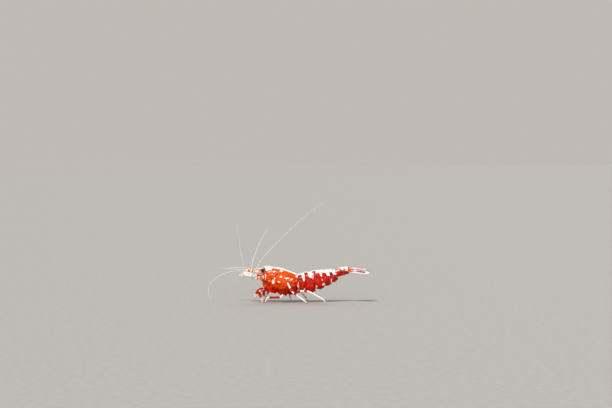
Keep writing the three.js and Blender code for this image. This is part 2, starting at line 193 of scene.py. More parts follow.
# Sweeps a closed section along a line. section(t, angle) gives how far right and up the skin lies.
def swept(name, line, around, section, paint=None, up=(0, 0, 1)):
    along = len(line) - 1
    frames = framesAlong(line, up)

    def place(u, v):
        i = round(v * along)
        right, over = section(v, 2 * math.pi * u)
        return line[i] + frames[i][1] * right + frames[i][2] * over

    return laidGrid(name, around, along, place, paint)


# A place on an oval section, right and up from its middle.
def oval(half, angle, across=1.0, up=1.0):
    return half * across * math.sin(angle), half * up * math.cos(angle)


# A smooth hump, 1 at its middle.
def hump(distance, width):
    return math.exp(-((distance / width) ** 2))


# Rises from 0 to 1 along a quarter circle, which makes the end of a piece round.
def rounded(share):
    return math.sqrt(max(0.0, 1 - (1 - min(1.0, share)) ** 2))


def roundEnds(t, reach):
    return rounded(min(t / reach, (1 - t) / reach))


# The paint of a piece that is the same all over, and of one whose white changes along a stretch of it.
def evenly(white, yellow, warm):
    return lambda u, v, point: (white, yellow, warm)


def fading(white, change, start, end, yellow, warm):
    return lambda u, v, point: (white + change * smooth(start, end, v), yellow, warm)


def finished(piece, material, slot, *nodes):
    piece.data.materials.clear()
    piece.data.materials.append(material)
    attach(piece, "root")
    if nodes:
        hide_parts(*nodes)
    return piece


def linear(hexColour):
    channels = [int(hexColour[i:i + 2], 16) / 255 for i in (1, 3, 5)]
    return tuple(c / 12.92 if c <= 0.04045 else ((c + 0.055) / 1.055) ** 2.4 for c in channels) + (1.0,)


# Values and links go to a node's sockets in their order, or by name. A node links by its first output.
def addNode(tree, kind, settings=None, *values, **named):
    node = tree.nodes.new("ShaderNode" + kind)
    for key, value in (settings or {}).items():
        setattr(node, key, value)
    inOrder = zip([socket for socket in node.inputs if socket.enabled], values)
    byName = [(node.inputs[key.replace("_", " ")], value) for key, value in named.items()]
    for socket, value in list(inOrder) + byName:
        if isinstance(value, bpy.types.Node):
            value = [output for output in value.outputs if output.enabled][0]
        if isinstance(value, bpy.types.NodeSocket):
            tree.links.new(value, socket)
        else:
            socket.default_value = value
    return node


def newMaterial(name):
    material = bpy.data.materials.new(name)
    material.use_nodes = True
    tree = material.node_tree
    tree.nodes.clear()
    return material, tree, addNode(tree, "TexCoord").outputs["Object"]


# what many of the nodes are set to
colourMix = {"data_type": "RGBA"}
gradual = {"interpolation_type": "SMOOTHSTEP"}
plus, times, timesPlus = ({"operation": kind} for kind in ("ADD", "MULTIPLY", "MULTIPLY_ADD"))

# size in millimetres, detail and roughness of each noise; real pits are ten times finer and would not show
pattern = {
    "cloud": (0.83, 5.0, 0.66),  # clouds of orange cells
    "fleck": (0.38, 4.0, 0.66),  # bright flecks
    "blot": (0.45, 4.0, 0.7),  # dark blots
    "wander": (0.43, 2.0, 0.5),  # the bays of a white border
    "grain": (0.19, 4.0, 0.6),  # the grain of that border
    "pit": (0.067, 3.0, 0.55),  # pits in the surface
}
# where each of these begins and where it is full, on the scale of the noise or level that makes it
fade = {
    "red": (0.4, 0.6), "orange": (0.3, 0.8), "flecks": (0.53, 0.62), "blots": (0.53, 0.62),
    "dots": (0.12, 0.42), "white": (-0.03, 0.05), "cool": (0.35, 0.65), "rough": (0.3, 0.7),
    "flecksByOrange": (0.0, 0.7),
}
# what all the chitin shares; light goes deepest in red, and white cells swell the skin a little
chitin = {
    "cell": 0.12, "refraction": 1.5, "scatter": (1.0, 0.3, 0.16), "coatRough": 0.12, "swell": 0.5,
    "flecksInRed": 0.25, "smoother": 0.06, "rougher": 0.08,
}


# A pattern as a noise texture takes it.
def asNoise(size, detail, roughness):
    return 1 / (size * mm), detail, roughness


# Chitin with pigment cells under it: a clear cuticle over red and orange cells and dense white ones.
# It gives a wet gloss, soft light in thin edges, and marks with grainy borders.
def pigmentedChitin(name, look):
    material, tree, place = newMaterial(name)
    colours = {key: linear(value) for key, value in look.items() if isinstance(value, str)}
    cloud, fleck, blot, wander, grain, pits = (
        addNode(tree, "TexNoise", None, place, *asNoise(*form)) for form in pattern.values()
    )
    cells = addNode(tree, "TexVoronoi", None, place, 1 / (chitin["cell"] * mm))
    white, yellow, warm = (
        addNode(tree, "Attribute", {"attribute_name": key}).outputs["Fac"] for key in paints
    )
    # red and orange cells
    share = addNode(tree, "MapRange", gradual, cloud, *fade["red"])
    red = addNode(tree, "Mix", colourMix, share, colours["deep"], colours["red"])
    cloudy = addNode(tree, "Math", timesPlus, cloud, look["clouds"], -look["clouds"] / 2)
    warmth = addNode(tree, "Math", plus, warm, cloudy)
    orange = addNode(tree, "MapRange", gradual, warmth, *fade["orange"])
    base = addNode(tree, "Mix", colourMix, orange, red, colours["orange"])
    # bright flecks, fewer in the red, then dark dots and blots
    flecks = addNode(tree, "MapRange", gradual, fleck, *fade["flecks"], 0.0, look["flecks"])
    fewer = addNode(tree, "MapRange", gradual, orange, *fade["flecksByOrange"], chitin["flecksInRed"])
    share = addNode(tree, "Math", times, flecks, fewer)
    base = addNode(tree, "Mix", colourMix, share, base, colours["fleck"])
    dots = addNode(tree, "MapRange", gradual, cells, *fade["dots"], look["dots"], 0.0)
    base = addNode(tree, "Mix", colourMix, dots, base, colours["dark"])
    blots = addNode(tree, "MapRange", gradual, blot, *fade["blots"], 0.0, look["blots"])
    base = addNode(tree, "Mix", colourMix, blots, base, colours["blot"])
    # white where its level is above 0, with noise to break up the border
    lower = -(look["ragged"] + look["wander"]) / 2
    ragged = addNode(tree, "Math", timesPlus, grain, look["ragged"], lower)
    bays = addNode(tree, "Math", timesPlus, wander, look["wander"], ragged)
    border = addNode(tree, "Math", plus, white, bays)
    whiteShare = addNode(tree, "MapRange", gradual, border, *fade["white"])
    share = addNode(tree, "MapRange", gradual, pits, *fade["cool"])
    pale = addNode(tree, "Mix", colourMix, share, colours["white"], colours["cool"])
    pale = addNode(tree, "Mix", colourMix, yellow, pale, colours["yellow"])
    colour = addNode(tree, "Mix", colourMix, whiteShare, base, pale)
    smoothest, roughest = look["rough"] - chitin["smoother"], look["rough"] + chitin["rougher"]
    rough = addNode(tree, "MapRange", gradual, grain, *fade["rough"], smoothest, roughest)
    raised = addNode(tree, "Math", timesPlus, whiteShare, chitin["swell"], pits)
    relief = look["relief"] * mm
    bump = addNode(tree, "Bump", None, Strength=look["bump"], Distance=relief, Height=raised)
    shader = addNode(
        tree, "BsdfPrincipled", None, Base_Color=colour, Roughness=rough, IOR=chitin["refraction"],
        Normal=bump, Specular_IOR_Level=look["shine"], Subsurface_Weight=look["soft"],
        Subsurface_Scale=look["depth"] * mm, Subsurface_Radius=chitin["scatter"],
        Coat_Weight=look["coat"], Coat_Roughness=chitin["coatRough"],
    )
    addNode(tree, "OutputMaterial", None, shader)
    return material


# Shell plates: thick and opaque, strongly speckled, with white that spreads in ragged patches.
shellLook = {
    "deep": "#b40604", "red": "#d80e04", "orange": "#fb5606",
    "fleck": "#ffa01c", "dark": "#580002", "blot": "#700002",
    "white": "#fdfaf4", "cool": "#e2ecf2", "yellow": "#f6e8a8",
    "clouds": 2.6, "flecks": 0.6, "dots": 0.45, "blots": 0.85, "ragged": 0.34, "wander": 0.4,
    "rough": 0.28, "bump": 0.35, "relief": 0.03, "shine": 0.22, "coat": 0.08, "soft": 0.1, "depth": 0.25,
}
# Legs, pincers and the soft underside: thinner and a little clearer, in plain red with neat white bands.
limbLook = dict(
    shellLook, deep="#b00c04", red="#d81c08", orange="#f06030", dark="#7c0604", blot="#8c0402",
    clouds=1.7, flecks=0.35, dots=0.25, blots=0.4, ragged=0.16, wander=0.1, soft=0.2, depth=0.2,
)
# Face, scales and the stalks of the feelers: orange to rosy, with creamy white.
headLook = dict(limbLook, red="#e03410", orange="#f47428", white="#f8f1e8", cool="#e4e6ee", soft=0.25)
# Tail fan: thin blades that light shines into, so their white is cool.
tailLook = dict(shellLook, red="#e01a10", ragged=0.22, soft=0.25, white="#f8f6f6", cool="#d2dff4")
# Feelers: clear, almost colourless rings, which look a matt pale grey.
feelerLook = dict(
    limbLook, deep="#bfc3c8", red="#c6cace", orange="#d8b8a4", dark="#a9adb3", blot="#a9adb3",
    white="#e2e6ea", cool="#d4dbe4", flecks=0.0, dots=0.1, blots=0.15, soft=0.15, rough=0.45, coat=0.0,
)
# Bristles: bare chitin, horn-coloured and dull, too fine for relief.
bristleLook = dict(
    feelerLook, deep="#c3b3a4", red="#d6cabc", orange="#e0b498", dark="#a59382", blot="#a59382", bump=0.0,
)

shellChitin = pigmentedChitin("pigmented_shell_chitin", shellLook)
limbChitin = pigmentedChitin("pigmented_limb_chitin", limbLook)
headChitin = pigmentedChitin("pale_head_chitin", headLook)
tailChitin = pigmentedChitin("tail_fan_chitin", tailLook)
feelerChitin = pigmentedChitin("feeler_chitin", feelerLook)
bristleChitin = pigmentedChitin("bristle_chitin", bristleLook)


eyeFinish = {
    "facet": 0.038, "uneven": 0.25, "relief": 0.01, "bump": 0.15, "tint": (0.38, 3.0, 0.5),
    "brownFade": (0.4, 0.7), "black": "#050407", "brown": "#2a0d12", "refraction": 1.5, "rough": 0.16,
    "coat": 0.6, "coatRough": 0.05,
}


# The cornea: clear chitin facets over black pigment, so it is near black with a sharp highlight.
def corneaMaterial():
    material, tree, place = newMaterial("cornea_over_black_pigment")
    scale = 1 / (eyeFinish["facet"] * mm)
    facets = addNode(tree, "TexVoronoi", None, place, scale, Randomness=eyeFinish["uneven"])
    tint = addNode(tree, "TexNoise", None, place, *asNoise(*eyeFinish["tint"]))
    share = addNode(tree, "MapRange", gradual, tint, *eyeFinish["brownFade"])
    black, brown = linear(eyeFinish["black"]), linear(eyeFinish["brown"])
    colour = addNode(tree, "Mix", colourMix, share, black, brown)
    bump = addNode(
        tree, "Bump", {"invert": True}, Strength=eyeFinish["bump"], Distance=eyeFinish["relief"] * mm,
        Height=facets,
    )
    shader = addNode(
        tree, "BsdfPrincipled", None, Base_Color=colour, Roughness=eyeFinish["rough"],
        IOR=eyeFinish["refraction"], Normal=bump, Coat_Weight=eyeFinish["coat"],
        Coat_Roughness=eyeFinish["coatRough"],
    )
    addNode(tree, "OutputMaterial", None, shader)
    return material


cornea = corneaMaterial()
print("materials made")


bristles = {}  # fine curved cones, joined in one mesh for each place they grow
# corners round one, thickness half way along, height of tips over the floor, radius of its bake map patch
bristleForm = {"corners": 3, "halfWay": 0.7, "clearance": 0.03, "patch": 0.0015}


# Adds one bristle to the bunch called where.
def addBristle(where, root, direction, length, thickness, droop=(0, 0, 0)):
    root, direction, droop = Vector(root), Vector(direction).normalized(), Vector(droop)
    low = root.z + (direction.z + droop.z) * length
    direction.z += max(0.0, bristleForm["clearance"] - low) / length  # near the floor it bends up
    bristles.setdefault(where, []).append((root, direction, length, thickness, droop))


# Makes a bunch into one piece. Its bake map is rows of small patches, one for each bristle in turn.
def makeBristles(where, whiteness=0.2):
    corners = bristleForm["corners"]
    vertices, faces = [], []
    for root, direction, length, thickness, droop in bristles[where]:
        side = direction.orthogonal().normalized()
        over = direction.cross(side)
        first = len(vertices)
        for share, wide in ((0.0, 1.0), (0.5, bristleForm["halfWay"])):
            middle = root + direction * length * share + droop * length * share * share
            for k in range(corners):
                turn = 2 * math.pi * k / corners
                out = side * math.cos(turn) + over * math.sin(turn)
                vertices.append(inFrame(middle + out * thickness * wide))
        vertices.append(inFrame(root + direction * length + droop * length))
        tip = first + 2 * corners
        for k in range(corners):
            a, b = first + k, first + (k + 1) % corners
            faces += [(a, b, b + corners, a + corners), (a + corners, b + corners, tip)]
        faces.append(tuple(first + k for k in reversed(range(corners))))
    mesh = bpy.data.meshes.new(where)
    mesh.from_pydata(vertices, [], faces)
    for key in paints:
        levels = [whiteness if key == "white" else 0.0] * len(vertices)
        mesh.attributes.new(key, "FLOAT", "POINT").data.foreach_set("value", levels)
    rows = math.ceil(math.sqrt(len(bristles[where])))
    patch = bristleForm["patch"]
    layer = mesh.uv_layers.new(name="OFBake")
    for loop in mesh.loops:
        index, corner = divmod(loop.vertex_index, 2 * corners + 1)
        u, v = (index % rows + 0.5) / rows, (index // rows + 0.5) / rows
        layer.data[loop.index].uv = (u + patch * math.cos(corner), v + patch * math.sin(corner))
    piece = bpy.data.objects.new(where, mesh)
    bpy.context.scene.collection.objects.link(piece)
    select(piece)
    bpy.ops.object.shade_smooth()
    return piece


# How far inside an oval a place is. A mark on the flank is an oval: middle, half sizes, how yellow it is.
def ovalLevel(x, z, mark):
    far = math.hypot((x - mark[0]) / mark[2], (z - mark[1]) / mark[3])
    return (1 - far) * min(mark[2], mark[3])


# the right flank's marks sit a little further back, and its light ones lower by a share of that; no level
# goes past the limit
flank = {"back": 0.16, "down": 0.6, "limit": 0.6}


def marked(x, y, z, level, marks, holes):
    slip = 0.0 if y < 0 else flank["back"]
    yellow = 0.0
    for mark in marks:
        found = ovalLevel(x - slip, z + slip * flank["down"], mark)
        if found > level:
            level, yellow = found, mark[4]
    for hole in holes:
        level = min(level, -ovalLevel(x - slip, z, hole))
    return max(-flank["limit"], min(flank["limit"], level)), yellow


# what every leaf shares: how soon its ends are round, how it thins to its tip and edge, its rib, and how
# far from its middle line its outer side begins
leafForm = {
    "around": 48, "round": 0.03, "thinning": 0.5, "bevel": 6, "ribWidth": 0.18, "ribEnd": 0.8,
    "outerFrom": 1e-6,
}


# A thin leaf from root to tip. outline(t) is its half width, and the rib runs down its middle.
def makeBlade(name, blade, paint):
    root, tip = Vector(blade["root"]), Vector(blade["tip"])
    bow = Vector((0, 0, blade.get("bow", 0.0)))
    steps = blade.get("steps", 60)
    line = [root.lerp(tip, i / steps) + bow * math.sin(math.pi * i / steps) for i in range(steps + 1)]

    def section(t, angle):
        flat = math.sin(angle)
        ends = roundEnds(t, leafForm["round"])
        outer = flat * blade.get("outerSide", 0) > leafForm["outerFrom"]
        half = (blade["outer"] if outer else blade["outline"])(t) * ends
        thick = blade["thick"] * (1 - leafForm["thinning"] * t) * min(1.0, half * leafForm["bevel"])
        rib = blade["rib"] * hump(flat, leafForm["ribWidth"]) * smooth(1.0, leafForm["ribEnd"], t) * ends
        cup = blade.get("cup", 0.0) * flat * flat * half
        return half * flat, (thick + rib) * math.cos(angle) + cup

    return swept(name, line, leafForm["around"], section, paint, up=blade["up"])


# a fringe: where it ends, how it crowds to the tip, how far in it roots, and how much its bristles lean
# forward and outward at its start and at the tip
fringe = {
    "end": 0.995, "crowding": 0.8, "inset": 0.96, "forward": (0.9, 1.4), "outward": (0.7, 0.1),
    "turn": 0.75, "stray": 0.08, "droop": (-0.1, 0.02), "lengths": (0.8, 1.1), "thickness": 0.011,
    "shuffle": (0.2, 0.8),
}


# Bristles along a leaf's edge, from t = start round the tip.
def fringeBlade(where, blade, count, length, start, edges=(-1, 1)):
    root, tip = Vector(blade["root"]), Vector(blade["tip"])
    axis = (tip - root).normalized()
    up = Vector(blade["up"])
    up = (up - axis * up.dot(axis)).normalized()
    right = up.cross(axis)
    for edge in edges:
        for i in range(count):
            place = (i + random.uniform(*fringe["shuffle"])) / count
            t = blend(start, fringe["end"], place ** fringe["crowding"])
            spot = root.lerp(tip, t) + right * edge * blade["outline"](t) * fringe["inset"]
            spot += Vector((0, 0, blade.get("bow", 0.0))) * math.sin(math.pi * t)
            outward = blend(*fringe["outward"], smooth(fringe["turn"], 1.0, t))
            direction = axis * blend(*fringe["forward"], t) + right * edge * outward
            direction += up * random.uniform(-fringe["stray"], fringe["stray"])
            long = length * random.uniform(*fringe["lengths"])
            droop = up * random.uniform(*fringe["droop"])
            addBristle(where, spot, direction, long, fringe["thickness"], droop)


def leafOutline(half, widest, rootShare=0.4, power=0.6, tipCurve=2.2):
    def outline(t):
        if t < widest:
            return half * blend(rootShare, 1, math.sin(math.pi / 2 * t / widest))
        return half * max(0.0, 1 - ((t - widest) / (1 - widest)) ** tipCurve) ** power

    return outline


# Cuts the spots on the back, seen from above, out of the white.
def spotted(point, depth, level, spots, backDepth=0.2):
    if depth > backDepth:
        return level
    return min([level] + [-ovalLevel(point.x, point.y, spot) for spot in spots])


carapace = {
    "around": 170, "along": 96, "edgeAngle": math.radians(152), "wall": 0.07,
    # the neck groove runs down and forward from the back, and a low swelling lies behind it
    "groove": {"x": -4.9, "z": 7.0, "slant": 0.62, "width": 0.13, "depth": 0.035, "fade": (4.4, 5.0)},
    "swelling": {"x": -2.9, "width": 1.3, "height": 0.04, "fade": (4.8, 3.2)},
    # width and height of the rolled edges, and the form of the section
    "rearLip": (0.02, 0.03), "frontLip": (0.012, 0.02), "axis": 4.2, "widestAt": 0.46, "keel": 0.75,
    # orange in its middle, and redder to the front, to the rear and, down to warmLow, to the lower edge
    "warmLow": 0.6, "warmUp": (3.4, 4.9), "warmFront": (-7.1, -6.1), "warmRear": (0.4, -1.4),
    # count of the bristles along the lower edge, where they start and end, and which way they point
    "bristles": (60, 0.02, 0.92), "bristleWay": (-0.3, 0, -1),
    # height of the back, height of the lower edge and half width, along the animal
    "top": through([
        (-8.1, 6.86), (-7.1, 7.13), (-6.2, 7.19), (-5.0, 7.08), (-3.6, 6.78), (-2.4, 6.38), (-1.4, 5.98),
        (-0.4, 5.6),
    ]),
    "bottom": through([
        (-7.1, 4.35), (-6.4, 3.4), (-5.4, 2.72), (-4.0, 2.24), (-2.4, 2.05), (-1.2, 2.3), (-0.4, 3.1),
    ]),
    "halfWidth": through([
        (-7.1, 1.0), (-6.2, 1.32), (-5.0, 1.62), (-3.6, 1.84), (-2.2, 1.88), (-0.4, 1.6),
    ]),
    # where the edges lie from the back, 0, down the flank: the front one runs out on the rostrum, back
    # round the eye, and out to a spine below it
    "frontEdge": through([
        (0, -8.0), (0.004, -7.75), (0.014, -7.42), (0.035, -7.2), (0.07, -7.08), (0.16, -6.9),
        (0.27, -6.84), (0.36, -6.96), (0.4, -7.12), (0.43, -7.4), (0.465, -7.2), (0.52, -7.1),
        (0.66, -7.08), (0.8, -7.0), (0.88, -6.82), (0.95, -6.3),
    ]),
    "rearEdge": through([(0, -0.5), (0.3, -0.38), (0.6, -0.42), (0.8, -0.7), (0.95, -1.3)]),
    # how deep the white stripe on the back is, the red spots in it from above, the light marks on the
    # flank, and the red holes in them from the side
    "stripe": through([
        (-7.2, 0.7), (-6.6, 0.8), (-5.9, 0.62), (-5.4, 0.32), (-4.2, 0.32), (-2.9, 0.24), (-1.6, 0.2),
        (-0.4, 0.2),
    ]),
    "backSpots": [
        (-6.3, 0.3, 0.22, 0.1), (-5.1, -0.32, 0.34, 0.09), (-4.0, 0.3, 0.28, 0.12),
        (-2.9, -0.24, 0.3, 0.1), (-1.5, 0.26, 0.26, 0.1),
    ],
    "marks": [
        (-5.5, 6.15, 0.75, 0.11, 0.1), (-3.72, 6.32, 0.32, 0.19, 0.0), (-6.93, 5.05, 0.15, 0.78, 0.1),
        (-5.5, 5.62, 0.17, 0.11, 0.5), (-3.78, 5.2, 0.25, 0.24, 0.0), (-5.02, 4.88, 0.2, 0.18, 0.7),
        (-5.32, 4.12, 0.27, 0.44, 0.15), (-4.18, 4.2, 0.38, 0.17, 0.7), (-2.66, 4.9, 0.48, 0.16, 0.0),
        (-1.68, 4.62, 0.28, 0.19, 0.0), (-0.62, 5.2, 0.19, 0.25, 0.0), (-6.2, 4.35, 0.1, 0.12, 0.6),
    ],
    "holes": [(-6.14, 6.35, 0.2, 0.1), (-4.85, 6.58, 0.75, 0.1)],
}


# A body section: its keel says how square its belly is, and the powers how square its sides and back are.
def bodySection(angle, top, bottom, halfWidth, keel, widestAt=0.5, sidePower=0.9, backPower=0.95):
    middle = blend(bottom, top, widestAt)
    upper = math.cos(angle) > 0
    reach = top - middle if upper else middle - bottom
    return (
        halfWidth * signedPower(math.sin(angle), sidePower),
        middle + reach * signedPower(math.cos(angle), backPower if upper else keel),
    )


shortBristle = {"lengths": (0.1, 0.17), "thickness": 0.009}


# Short bristles along both lower edges of a shell, from one share of its length to another.
def bristleRow(place, count, start, end, direction):
    for k in range(count):
        for u in (0.0, 1.0):
            root = place(u, blend(start, end, k / (count - 1)))
            long = random.uniform(*shortBristle["lengths"])
            addBristle("flapBristles", root, direction, long, shortBristle["thickness"])


def makeCarapace():
    top, groove, swelling = carapace["top"], carapace["groove"], carapace["swelling"]

    def place(u, v):
        angle = blend(-carapace["edgeAngle"], carapace["edgeAngle"], u)
        depth = (1 - math.cos(angle)) / 2
        x = blend(carapace["frontEdge"](depth), carapace["rearEdge"](depth), v)
        low, half = carapace["bottom"](x), carapace["halfWidth"](x)
        y, z = bodySection(angle, top(x), low, half, carapace["keel"], carapace["widestAt"])
        behind = x - groove["x"] + groove["slant"] * (groove["z"] - z)
        neck = hump(behind, groove["width"]) * smooth(*groove["fade"], z)
        swell = hump(x - swelling["x"], swelling["width"]) * smooth(*swelling["fade"], z)
        lip = sum(
            hump(far, width) * height
            for far, (width, height) in ((1 - v, carapace["rearLip"]), (v, carapace["frontLip"]))
        )
        scale = 1 - groove["depth"] * neck + swell * swelling["height"] + lip
        return x, y * scale, blend(carapace["axis"], z, blend(1, scale, 0.5))

    def paint(u, v, point):
        x, y, z = point
        depth = top(x) - z
        level = carapace["stripe"](x) - depth
        level, yellow = marked(x, y, z, level, carapace["marks"], carapace["holes"])
        level = spotted(point, depth, level, carapace["backSpots"])
        warm = blend(carapace["warmLow"], 1.0, smooth(*carapace["warmUp"], z))
        return level, yellow, warm * smooth(*carapace["warmFront"], x) * smooth(*carapace["warmRear"], x)

    bristleRow(place, *carapace["bristles"], carapace["bristleWay"])
    shell = laidGrid("carapaceShell", carapace["around"], carapace["along"], place, paint)
    withModifier(shell, "SOLIDIFY", thickness=carapace["wall"] * mm, offset=-1.0)
    return finished(shell, shellChitin, "shell", "carapace")


rostrum = {
    "base": -5.5, "tip": -8.7, "halfThickness": 0.15, "tipThickness": 0.12, "edgeThickness": 0.3,
    "ridgeAt": 0.42, "ridgeWidth": 0.2, "taperFrom": 0.5, "sidePower": 0.8, "around": 32, "along": 90,
    # teeth above, at shares of the blade, and below, at places along the animal, with their roots sunk in
    "teeth": {
        "count": 17, "from": 0.16, "span": 0.78, "slope": 0.42, "length": 0.19, "least": 0.65,
        "thickness": 0.045,
    },
    "underTeeth": {"count": 4, "from": -7.7, "to": -8.5, "length": 0.13, "thickness": 0.035},
    "sunk": (0.05, 0.03), "whiteUp": 0.3, "white": 0.05, "tint": (0.1, 0.9),
}
rostrumTop = through([(-8.7, 6.7), (-8.0, 6.88), (-7.1, 7.16), (-6.2, 7.24), (-5.5, 7.12)])
rostrumBottom = through([(-8.7, 6.66), (-8.2, 6.56), (-7.6, 6.5), (-6.9, 6.56), (-6.2, 6.9), (-5.5, 7.0)])


def makeRostrum():
    teeth, underTeeth = rostrum["teeth"], rostrum["underTeeth"]
    back, down = rostrum["sunk"]

    def place(u, v):
        x = blend(rostrum["base"], rostrum["tip"], v)
        angle = 2 * math.pi * u
        share = 0.5 if v in (0.0, 1.0) else (math.cos(angle) + 1) / 2
        # a ridge along each side carries the blade, which thins to an edge above and below it
        ridge = hump(share - rostrum["ridgeAt"], rostrum["ridgeWidth"])
        taper = blend(rostrum["tipThickness"], 1.0, smooth(1.0, rostrum["taperFrom"], v))
        thin = rostrum["edgeThickness"]
        thick = rostrum["halfThickness"] * taper * (thin + (1 - thin) * ridge)
        side = 0.0 if v in (0.0, 1.0) else signedPower(math.sin(angle), rostrum["sidePower"])
        return x, thick * side, blend(rostrumBottom(x), rostrumTop(x), share)

    def paint(u, v, point):
        share = (math.cos(2 * math.pi * u) + 1) / 2
        return rostrum["whiteUp"] * (share - 0.5) + rostrum["white"], *rostrum["tint"]

    for k in range(teeth["count"]):
        share = teeth["from"] + teeth["span"] * k / (teeth["count"] - 1)
        x = blend(rostrum["base"], rostrum["tip"], share)
        swell = math.sin(math.pi * (k + 1) / (teeth["count"] + 1))
        size = teeth["length"] * blend(teeth["least"], 1, swell)
        root = (x + back, 0, rostrumTop(x) - down)
        addBristle("rostrumTeeth", root, (-1, 0, teeth["slope"]), size, teeth["thickness"])
    for k in range(underTeeth["count"]):
        x = blend(underTeeth["from"], underTeeth["to"], k / (underTeeth["count"] - 1))
        root = (x + back, 0, rostrumBottom(x) + down)
        way = (-1, 0, -teeth["slope"])
        addBristle("rostrumTeeth", root, way, underTeeth["length"], underTeeth["thickness"])
    blade = laidGrid("rostrumBlade", rostrum["around"], rostrum["along"], place, paint)
    return finished(blade, shellChitin, "shell", "rostrum")


# A smooth lump, for mouthparts.
def makeLump(centre, radii, paint, around=28, along=18):
    centre = Vector(centre)

    def place(u, v):
        turn, rise = 2 * math.pi * u, math.pi * (v - 0.5)
        out = Vector((math.cos(turn) * math.cos(rise), math.sin(turn) * math.cos(rise), math.sin(rise)))
        return centre + Vector([out[k] * radii[k] for k in range(3)])

    return laidGrid("lump", around, along, place, paint)


face = {
    "front": -7.72, "rear": -6.2, "round": 0.3, "middle": 5.35, "keel": 0.9, "around": 56, "along": 40,
    # top, bottom and half width, each at the front and at the rear
    "top": (6.2, 6.75), "bottom": (4.35, 3.7), "half": (0.62, 0.97),
    "marks": [(-7.6, 5.75, 0.3, 0.16), (-7.5, 4.85, 0.14, 0.14)], "tint": (0.2, 0.7),
    "lip": ((-7.5, 0, 4.35), (0.26, 0.34, 0.2)), "jaw": ((-7.15, 0.36, 4.05), (0.32, 0.24, 0.42)),
    "mouthPaint": (-0.12, 0.3, 0.45), "bristles": (12, 0.17, 0.35),
}
# leafy jaw feet, one over the other on each side of the mouth: root, tip and half width of each
jawPlates = [
    ((-6.45, 0.6, 3.35), (-7.5, 0.44, 3.98), 0.3),
    ((-6.35, 0.66, 3.1), (-7.45, 0.56, 3.55), 0.27),
    ((-6.2, 0.66, 2.95), (-7.2, 0.62, 3.22), 0.22),
]
jawPlateForm = {"thick": 0.1, "rib": 0.04, "steps": 30}


def makeHead():
    def place(u, v):
        rim = 0.0 if v == 1.0 else rounded(v / face["round"])
        top, bottom, half = (blend(*face[key], v) for key in ("top", "bottom", "half"))
        y, z = bodySection(2 * math.pi * u, top, bottom, half, face["keel"])
        return blend(face["front"], face["rear"], v), y * rim, blend(face["middle"], z, rim)

    def paint(u, v, point):
        return max(ovalLevel(point.x, point.z, mark) for mark in face["marks"]), *face["tint"]

    plain = evenly(*face["mouthPaint"])
    pieces = [laidGrid("face", face["around"], face["along"], place, paint), makeLump(*face["lip"], plain)]
    for sign in sides.values():
        middle, radii = face["jaw"]
        pieces.append(makeLump(onSide(middle, sign), radii, plain))
        for root, tip, half in jawPlates:
            leaf = dict(
                jawPlateForm, root=onSide(root, sign), tip=onSide(tip, sign), up=(0, sign, 0.3),
                outline=leafOutline(half, 0.5, 0.6),
            )
            pieces.append(makeBlade("jawPlate", leaf, plain))
            fringeBlade("mouthBristles", leaf, *face["bristles"])
    return finished(joined("headFront", pieces), headChitin, "shell", "head")


trunk = {
    # the chest underside: its ends, how soon they are round, top, lower edge, half width and middle
    "chest": (-6.6, -0.4), "chestRound": 0.12, "chestTop": 3.6, "chestLow": (2.75, 1.62),
    "chestDeepAt": 0.5, "chestHalf": 0.98, "chestMiddle": 2.9, "chestKeel": 0.7,
    "ripple": 0.05, "ripples": 7,
    # the flesh of the tail: its ends, how soon they are round, and its form along the animal
    "tail": (-0.9, 9.6), "tailRound": 0.06, "tailKeel": 0.6,
    "tailLow": through([(-1, 3.7), (2.5, 3.9), (4.2, 4.25), (7.0, 5.2), (9.6, 5.75)]),
    "tailHalf": through([(-1, 1.35), (2.5, 1.5), (4.2, 1.35), (7.0, 0.95), (9.6, 0.6)]),
    "tailTop": through([(-1, 5.2), (1.0, 5.75), (4.0, 6.2), (7.0, 6.35), (9.6, 6.8)]),
    "around": 48, "chestAlong": 90, "tailAlong": 80, "paint": (-0.5, 0.0, 0.25),
}


# The chest underside and the flesh of the tail, seen between the legs and the side flaps.
def makeTrunk():
    def chest(u, v):
        rim = roundEnds(v, trunk["chestRound"])
        low = blend(*trunk["chestLow"], smooth(0, trunk["chestDeepAt"], v))
        # one low swelling lies above each pair of legs
        half = trunk["chestHalf"] + trunk["ripple"] * math.cos(v * trunk["ripples"] * 2 * math.pi)
        y, z = bodySection(2 * math.pi * u, trunk["chestTop"], low, half, trunk["chestKeel"])
        middle = trunk["chestMiddle"]
        return blend(*trunk["chest"], v), y * rim, middle + (z - middle) * rim

    def tail(u, v):
        x = blend(*trunk["tail"], v)
        rim = roundEnds(v, trunk["tailRound"])
        top, low = trunk["tailTop"](x), trunk["tailLow"](x)
        y, z = bodySection(2 * math.pi * u, top, low, trunk["tailHalf"](x), trunk["tailKeel"])
        middle = (top + low) / 2
        return x, y * rim, middle + (z - middle) * rim

    paint = evenly(*trunk["paint"])
    chestPiece = laidGrid("chestUnderside", trunk["around"], trunk["chestAlong"], chest, paint)
    tailPiece = laidGrid("tailFlesh", trunk["around"], trunk["tailAlong"], tail, paint)
    return finished(joined("chestUnderside", [chestPiece, tailPiece]), limbChitin, "shell", "thorax")


makeCarapace()
makeRostrum()
makeHead()
makeTrunk()
print("carapace, rostrum, head and chest made")

# the tail's back, half width and lower edge of the flaps, along the animal
abdomenTop = through([
    (-0.6, 5.5), (1.0, 6.1), (2.4, 6.32), (4.0, 6.5), (5.6, 6.6), (6.8, 6.66), (8.0, 6.98), (9.4, 7.16),
    (9.7, 7.1),
])
abdomenHalf = through([
    (-0.6, 1.6), (1.6, 1.74), (3.4, 1.62), (4.9, 1.42), (6.3, 1.2), (7.2, 1.0), (8.4, 0.86), (9.7, 0.72),
])
abdomenLow = through([
    (-0.6, 2.5), (0.4, 2.35), (2.1, 1.95), (4.1, 2.6), (5.7, 3.35), (7.0, 4.1), (7.8, 4.75), (9.8, 5.5),
])
